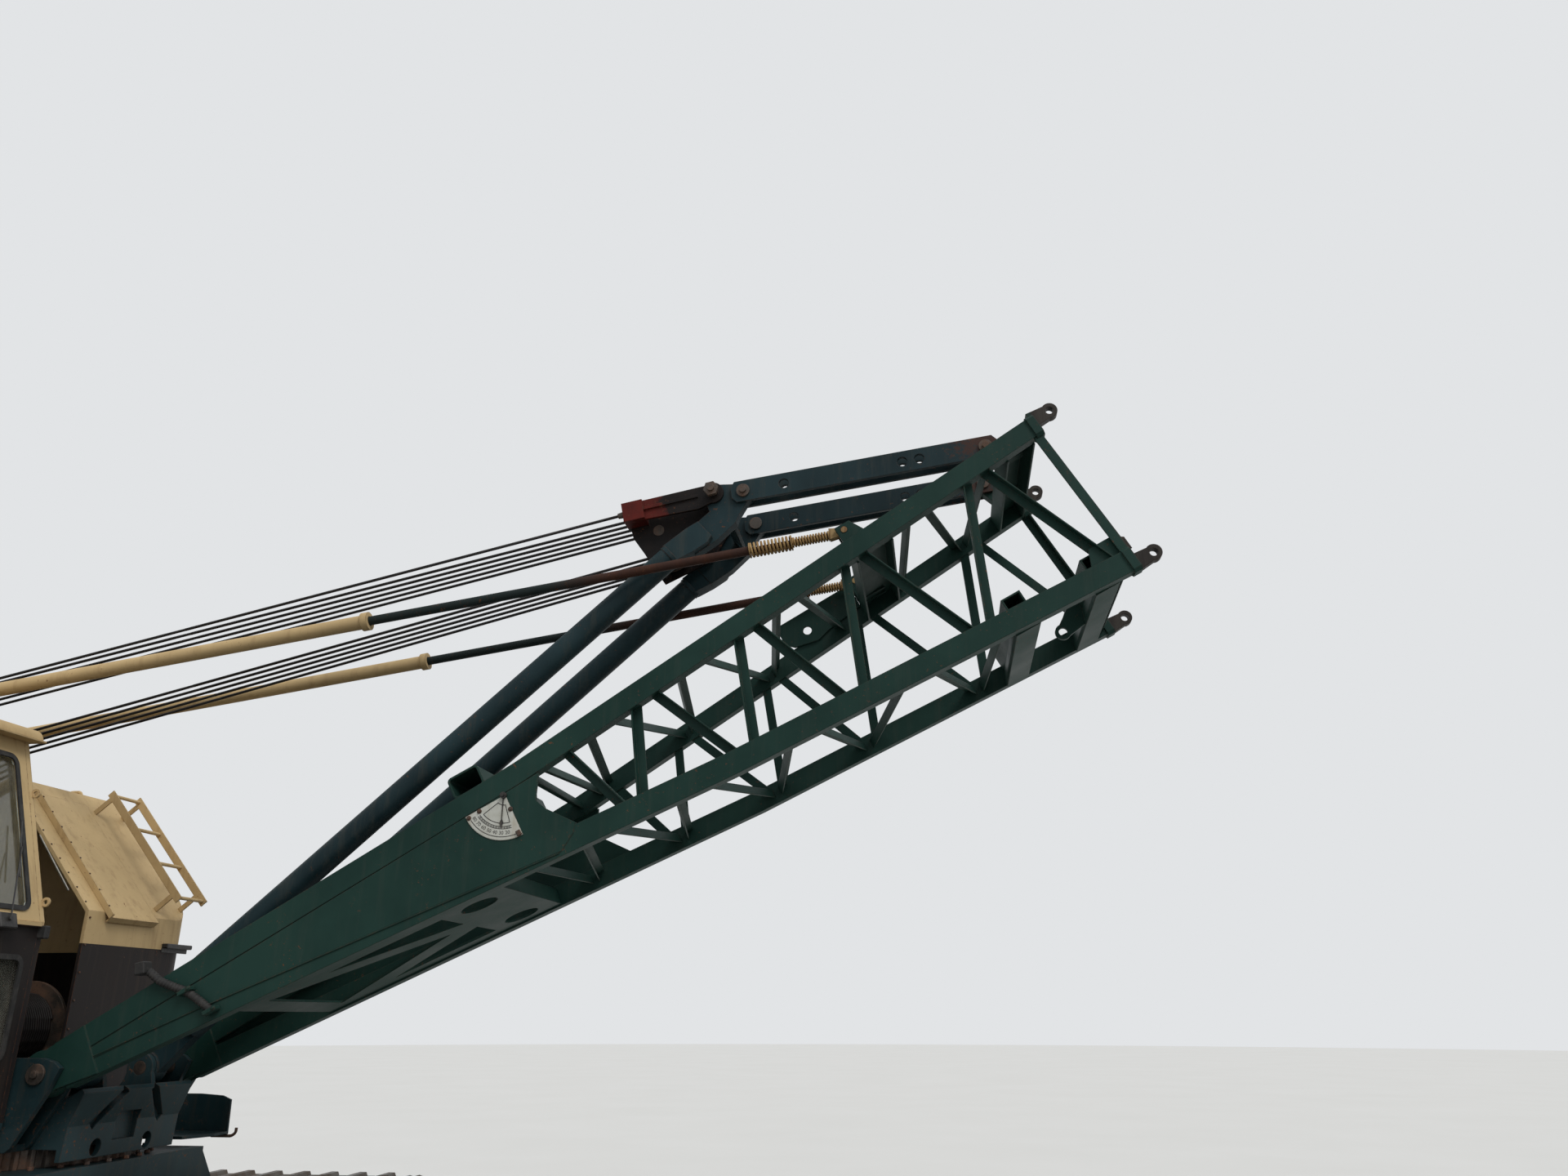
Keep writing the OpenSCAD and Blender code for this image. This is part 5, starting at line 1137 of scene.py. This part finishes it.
for x, y in ((-3.05, -1.28), (-3.05, 1.28), (-0.75, 1.28)):
    x0, x1 = x - 0.06, x + 0.06
    bent_bar(louvres, [(x0, y, 3.80), (x0, y, 3.88), (x1, y, 3.88), (x1, y, 3.80)], 0.014)
piece("house_rear_and_roof_seams", louvres, "cream_paint", "upper")

# %% [markdown]
# The exhaust pipe is closed by a flap that the gas lifts. It stands a little open on its hinge pin, and
# two clamps sit round the pipe.

# %% The exhaust's cap
PIPE_R = 0.0625
pipe_cap = bmesh.new()
cap = Matrix.Translation((-1.398, -1.0, 4.139)) @ Matrix.Rotation(math.radians(28), 4, "Y")
flap = cap @ Matrix.Translation((-0.066, 0, 0))
lathe(pipe_cap, [(0, 0), (0.064, 0), (0.068, 0.004), (0, 0.010)], flap, 20)
bar(pipe_cap, (0, -0.03, 0.0), (0, 0.03, 0.0), 0.008, 8, cap)
outer = PIPE_R + 0.006
clamp = [(PIPE_R, 0.0), (outer, 0.0), (outer, 0.03), (PIPE_R, 0.03), (PIPE_R, 0.0)]
for z in (3.86, 4.09):
    lathe(pipe_cap, clamp, Matrix.Translation((-1.46, -1.0, z)), 20)
piece("exhaust_cap", pipe_cap, "rusty_bolt", "upper")

# %% [markdown]
# Rows of small bolts hold the panels. They follow the edges of the walls, the hatch on the slope and the
# corner of the front wall, so each row is given by its two ends and a count.

# %% House bolts
def along(start, end, count):
    """Evenly spaced points from start to end, both ends included."""
    start, end = Vector(start), Vector(end)
    return [start.lerp(end, i / (count - 1)) for i in range(count)]


house_bolts = bmesh.new()
for side, ends in ((1, (-0.55, 0.05)), (-1, (-1.0, -1.0))):
    y = (HOUSE_SIDE + 0.005) * side
    for z, x1 in zip((3.772, 1.53), ends):
        for at in along((-3.22, y, z), (x1, y, z), 10):
            bolt(house_bolts, at, (0, side, 0), 0.019, 0.009)
for y in (-1.25, -0.68, 0.68, 1.25):
    for z in (2.625, 3.635):
        bolt(house_bolts, (REAR_X - 0.012, y, z), (-1, 0, 0), 0.019, 0.009)
for at in along((0.02, 0.392, -0.044), (1.12, 0.392, -0.044), 8):
    bolt(house_bolts, at, (0, 0, -1), 0.012, 0.006, SLOPE, False)
for at in along((0.08, 0.228, -0.001), (1.20, 0.228, -0.001), 9):
    bolt(house_bolts, at, (0, 0, -1), 0.012, 0.006, SLOPE, False)
for at in along((0.401, 0.235, 1.62), (0.401, 0.235, 2.76), 7):
    bolt(house_bolts, at, (1, 0, 0), 0.014, 0.007, washer=False)
piece("house_bolts", house_bolts, "rusty_bolt", "upper")

# %% [markdown]
# A folded ledge stands out from the house's front where the cream changes to brown, and a pale flat bar
# stays the slope beside the boom's slot.

# %% The front ledge and the pale bar
ledge = bmesh.new()
block(ledge, (0.398, 1.118, 2.592), (0.452, 1.445, 2.626), soft=0.006)
block(ledge, (0.398, 1.118, 2.560), (0.408, 1.445, 2.594))
piece("house_front_ledge", ledge, "black_vinyl", "upper")
stay = bmesh.new()
stay_top, stay_foot = Vector((0.20, -0.179, 3.297)), Vector((0.38, -0.012, 2.927))
stay_long = (stay_top - stay_foot).length
block(stay, (-0.022, -0.004, 0), (0.022, 0.004, stay_long), aim(stay_top, stay_foot), 0.002)
piece("slope_stay_bar", stay, "white_enamel", "upper")

# %% [markdown]
# Air hoses and cables run down behind the cab to the valves under the deck. In the photo they show as a
# dark tangle in the gap beside the boom's foot. A dark stop block sits on the cab's corner at the sill.

# %% Hoses behind the cab
HOSE_TOP, HOSE_FOOT = 2.62, 1.53
HOSES = {  # radius: its start, the points it passes and its end
    0.013: ((0.02, -0.60), (0.10, -0.56, 2.30), (0.06, -0.50, 1.95), (0.22, -0.46, 1.70), (0.30, -0.42)),
    0.010: ((0.10, -0.62), (0.20, -0.60, 2.20), (0.14, -0.54, 1.86), (0.30, -0.52, 1.64), (0.34, -0.52)),
    0.016: ((-0.06, -0.58), (0.00, -0.53, 2.15), (0.16, -0.42, 1.80), (0.20, -0.35)),
    0.009: ((0.16, -0.66), (0.27, -0.66, 2.05), (0.25, -0.62, 1.75), (0.36, -0.60)),
}
hoses = bmesh.new()
for radius, (start, *passed, end) in HOSES.items():
    hose_path = [(*start, HOSE_TOP), *passed, (*end, HOSE_FOOT)]
    bent_bar(hoses, hose_path, radius, 8, fillet=0.14)
block(hoses, (-0.10, -0.70, 2.60), (0.20, -0.54, 2.66), soft=0.006)
block(hoses, (0.855, -0.835, 2.545), (0.925, -0.787, 2.625), soft=0.008)
piece("cab_hoses_and_stop", hoses, "rubber", "upper")

# %% [markdown]
# ## The boom's small pieces
#
# A corrugated air duct comes over the boom's foot and ends in a square mouth, held by two clips. Its ribs
# could be a texture, but they show against the sky. So the duct is one tube whose radius goes up and down
# along its path.

# %% The corrugated duct
DUCT_Y = -0.735
DUCT_R = (0.021, 0.026)
DUCT_STEP = 0.0055  # a quarter of a rib
DUCT_PATH = (
    (0.822, 0.236),
    (0.845, 0.190),
    (0.867, 0.146),
    (0.923, 0.083),
    (1.005, 0.002),
    (1.060, -0.085),
    (1.114, -0.187),
)
path = rounded_path([Vector((u, DUCT_Y, w)) for u, w in DUCT_PATH], 0.05, 6)
lengths = [0]
for a, b in zip(path, path[1:]):
    lengths.append(lengths[-1] + (b - a).length)
count = round(lengths[-1] / DUCT_STEP)
points = []
for i in range(count + 1):
    run = lengths[-1] * i / count
    k = max(j for j in range(len(lengths) - 1) if lengths[j] <= run + 1e-9)
    part = (run - lengths[k]) / max(1e-9, lengths[k + 1] - lengths[k])
    points.append(BOOM @ path[k].lerp(path[k + 1], min(1, part)))
duct = bmesh.new()
rope(duct, points, [DUCT_R[i // 2 % 2] for i in range(count + 1)], 12)
mouth = BOOM @ facing((0.803, DUCT_Y, 0.292), (0, -1, 0), (0.28, 0, 0.96))
block(duct, (-0.045, -0.062, -0.030), (0.045, 0.014, 0.036), mouth, 0.006)
piece("boom_foot_duct", duct, "rubber", "boom")
clips = bmesh.new()
for u, w in (DUCT_PATH[4], DUCT_PATH[6]):
    block(clips, (u - 0.045, -0.768, w - 0.014), (u + 0.045, -0.709, w + 0.014), BOOM, 0.004)
    bolt(clips, (u + 0.034, -0.768, w), (0, -1, 0), 0.017, 0.008, BOOM)
piece("duct_clips", clips, "boom_green", "boom")

# %% [markdown]
# A weld bead runs along each side plate, where its two sheets meet. Bolts hold the mast's rest to the
# chords, and a gusset stiffens the end of each lower chord. They are laid out in the boom's frame.

# %% Weld beads, rest bolts and gussets
FACE_Y = 0.7093
CHORD_FACE = 0.655
BEAD = ((0.234, -0.052), (1.018, -0.127), (3.430, -0.399))
GUSSET = ((7.23, -0.50), (7.53, -0.50), (7.53, -0.41), (7.46, -0.365), (7.29, -0.365))
GUSSET_T = 0.010
beads, boom_bolts, gussets = bmesh.new(), bmesh.new(), bmesh.new()
for side in (-1, 1):
    for (u0, w0), (u1, w1) in zip(BEAD, BEAD[1:]):
        bar(beads, (u0, side * FACE_Y, w0), (u1, side * FACE_Y, w1), 0.0045, 6, BOOM)
    for u in (2.985, 3.145):
        bolt(boom_bolts, (u, side * 0.60, 0.078), (0, 0, 1), 0.02, 0.01, BOOM)
    low = min(side * CHORD_FACE, side * (CHORD_FACE + GUSSET_T))
    plate(gussets, [(u, low, w) for u, w in GUSSET], (0, GUSSET_T, 0), BOOM)
piece("boom_weld_beads", beads, "boom_green", "boom")
piece("mast_rest_bolts", boom_bolts, "rusty_bolt", "boom")
piece("boom_end_gussets", gussets, "boom_green", "boom")

# %% [markdown]
# The bridle hangs on two pins at the mast's head. Each is held by a nut, with the pin's end beyond it.

# %% Nuts on the bridle's pins
PIN_U, PIN_W = 5.586, 0.147
mast_nuts = bmesh.new()
for side in (-1, 1):
    for y0, y1, radius, sides in ((0.4145, 0.442, 0.056, 6), (0.44, 0.462, 0.026, 14)):
        bar(mast_nuts, (PIN_U, side * y0, PIN_W), (PIN_U, side * y1, PIN_W), radius, sides, MAST)
piece("bridle_pin_nuts", mast_nuts, "bare_steel", "mast")

# %% [markdown]
# ## The front corner
#
# A bent round bar under the wing plate's corner serves as a tie-down hook, and three bolts hold the plate
# to the frame.

# %% The hook and the wing plate's bolts
HOOK = ((1.00, 1.222, 1.238), (1.165, 1.222, 1.238), (1.195, 1.222, 1.262), (1.195, 1.222, 1.295))
hook = bmesh.new()
bent_bar(hook, HOOK, 0.011, 12, fillet=0.03)
piece("wing_hook", hook, "bare_steel", "upper")
wing_bolts = bmesh.new()
for x in (0.72, 0.86, 1.00):
    bolt(wing_bolts, (x, 1.230, 1.285), (0, 1, 0), 0.02, 0.01)
piece("wing_bolts", wing_bolts, "rusty_bolt", "upper")

# %% [markdown]
# ## Gantry and counterweight
#
# The shaft of the gantry's sheaves ends in collars and nuts, and the pins of the backstops' rear eyes end
# in nuts. The counterweight is a casting that hangs on four long bolts, whose heads show on its top.

# %% Nuts, counterweight bolts and tail lamps
WEIGHT_TOP = 2.4806
gantry_nuts = bmesh.new()
for side in (-1, 1):
    for x, z, y0, y1, radius, sides in (
        (GANTRY_AXIS.x, GANTRY_AXIS.z, 0.414, 0.428, 0.085, 24),
        (GANTRY_AXIS.x, GANTRY_AXIS.z, 0.427, 0.462, 0.062, 6),
        (-1.995, 4.013, 0.300, 0.328, 0.038, 6),
    ):
        bar(gantry_nuts, (x, side * y0, z), (x, side * y1, z), radius, sides)
piece("gantry_nuts", gantry_nuts, "bare_steel", "upper")
weight_bolts = bmesh.new()
for y in (-1.05, -0.35, 0.35, 1.05):
    bolt(weight_bolts, (-3.42, y, WEIGHT_TOP), (0, 0, 1), 0.055, 0.034)
piece("counterweight_bolts", weight_bolts, "rusty_bolt", "upper")
tail = bmesh.new()
for y in (-1.41, 1.41):
    lamp = facing((REAR_X - 0.0005, y, 2.74), (0, -1, 0))
    block(tail, (-0.045, -0.075, 0), (0.045, 0.075, 0.032), lamp, 0.008)
piece("tail_lamps", tail, "bridle_red", "upper")

# %% [markdown]
# ## Undercarriage
#
# The slewing ring's inner race is bolted down all round. On the crawler frames, bolted caps close the
# axles, and flat covers close the openings between them. The rings of bolts are one piece.

# %% Ring bolts and axle caps
RING_TOP, RING_R, RING_BOLTS = 1.2, 1.115, 40
AXLE_X, AXLE_Z = 2.24, 0.46
CAP_R, CAP_BOLTS = 0.105, 8
FRAME_FACE = 1.7895
CAP = ((0, 0), (0.14, 0), (0.14, 0.026), (0.132, 0.033), (0.07, 0.033), (0.062, 0.052), (0, 0.054))
under, caps = bmesh.new(), bmesh.new()
for i in range(RING_BOLTS):
    turn = math.tau * (i + 0.5) / RING_BOLTS
    at = (RING_R * math.cos(turn), RING_R * math.sin(turn), RING_TOP)
    bolt(under, at, (0, 0, 1), 0.034, 0.02, washer=False)
for side in (-1, 1):
    for x in (-AXLE_X, AXLE_X):
        for i in range(CAP_BOLTS):
            turn = math.tau * i / CAP_BOLTS
            at = (x + CAP_R * math.cos(turn), side * 1.822, AXLE_Z + CAP_R * math.sin(turn))
            bolt(under, at, (0, side, 0), 0.024, 0.014)
        lathe(caps, CAP, aim((x, side * FRAME_FACE, AXLE_Z), (x, side * 2, AXLE_Z)), 28)
    for x in (-0.95, 0, 0.95):
        cover = facing((x, side * FRAME_FACE, 0.50), (-side, 0, 0))
        block(caps, (-0.20, -0.075, 0), (0.20, 0.075, 0.012), cover, 0.004)
piece("undercarriage_bolts", under, "rusty_bolt", "undercarriage")
piece("crawler_frame_caps", caps, "frame_paint", "undercarriage")

# %% [markdown]
# ## Studio
#
# A wide pale floor carries the crane's shadow. To the light it is as dark as gravel, so that the undersides
# stay dark as they do outdoors. The world is an even sky that fills the shadows from all sides, and one
# large soft sun from above gives the forms their direction. Seen by the camera, in metal or through glass,
# the floor and the sky are a plain pale tone.

# %% Floor
FLOOR_RADIUS = 90


def background_rays(mat):
    """1 for what the camera sees, also in metal and through glass, and 0 for the light itself."""
    rays = add(mat, "LightPath")
    seen = add(mat, "Math", [rays["Is Camera Ray"], rays["Is Glossy Ray"]], operation="MAXIMUM")[0]
    return add(mat, "Math", [seen, rays["Is Transmission Ray"]], operation="MAXIMUM")[0]


floor_paint, floor_place = new_material("pale_studio_floor")
wide = {"Vector": floor_place, "Scale": per_metre(2500), "Detail": 3, "Roughness": 0.6}
cloud = add(floor_paint, "TexNoise", wide)[0]
tones = {0: cloud, 6: linear("#d5d3ce"), 7: linear("#dcdad6")}
pale = add(floor_paint, "Mix", tones, data_type="RGBA")[2]
tones = {0: background_rays(floor_paint), 6: linear("#7c7a75"), 7: pale}
floor_colour = add(floor_paint, "Mix", tones, data_type="RGBA")[2]
floor_shader = add(floor_paint, "BsdfPrincipled", {"Base Color": floor_colour, "Roughness": 0.9})[0]
add(floor_paint, "OutputMaterial", [floor_shader])

disc = bmesh.new()
bmesh.ops.create_circle(disc, cap_ends=True, segments=96, radius=FLOOR_RADIUS)
floor_mesh = bpy.data.meshes.new("studio_floor")
disc.to_mesh(floor_mesh)
disc.free()
floor_mesh.materials.append(floor_paint)
floor = bpy.data.objects.new("studio_floor", floor_mesh)
bpy.context.scene.collection.objects.link(floor)
print("floor of", FLOOR_RADIUS, "m radius")

# %% [markdown]
# A sky photo would light the crane well but bring its own picture into the steel. A plain world colour
# does the same for dull paint, and a sun of 25 degrees across casts the soft shadow of a cloudy day.

# %% Sky and sun
SKY_STRENGTH = 0.75
SUN_STRENGTH = 1.4
SUN_ACROSS = 25  # degrees
SUN_TURN = (38, 18, 20)  # degrees about X, Y and Z

world = bpy.data.worlds.new("studio_sky")
bpy.context.scene.world = world
world.use_nodes = True
world.node_tree.nodes.clear()
light = add(world, "Background", {"Color": linear("#eef2f6"), "Strength": SKY_STRENGTH})[0]
plain = add(world, "Background", {"Color": linear("#e2e4e6"), "Strength": 1})[0]
add(world, "OutputWorld", [add(world, "MixShader", [background_rays(world), light, plain])[0]])

sun = bpy.data.objects.new("soft_sun", bpy.data.lights.new("soft_sun", "SUN"))
sun.data.energy = SUN_STRENGTH
sun.data.angle = math.radians(SUN_ACROSS)
sun.rotation_euler = [math.radians(turn) for turn in SUN_TURN]
bpy.context.scene.collection.objects.link(sun)
bpy.context.scene.view_settings.view_transform = "Standard"
print("sky of", SKY_STRENGTH, "and sun of", SUN_STRENGTH)
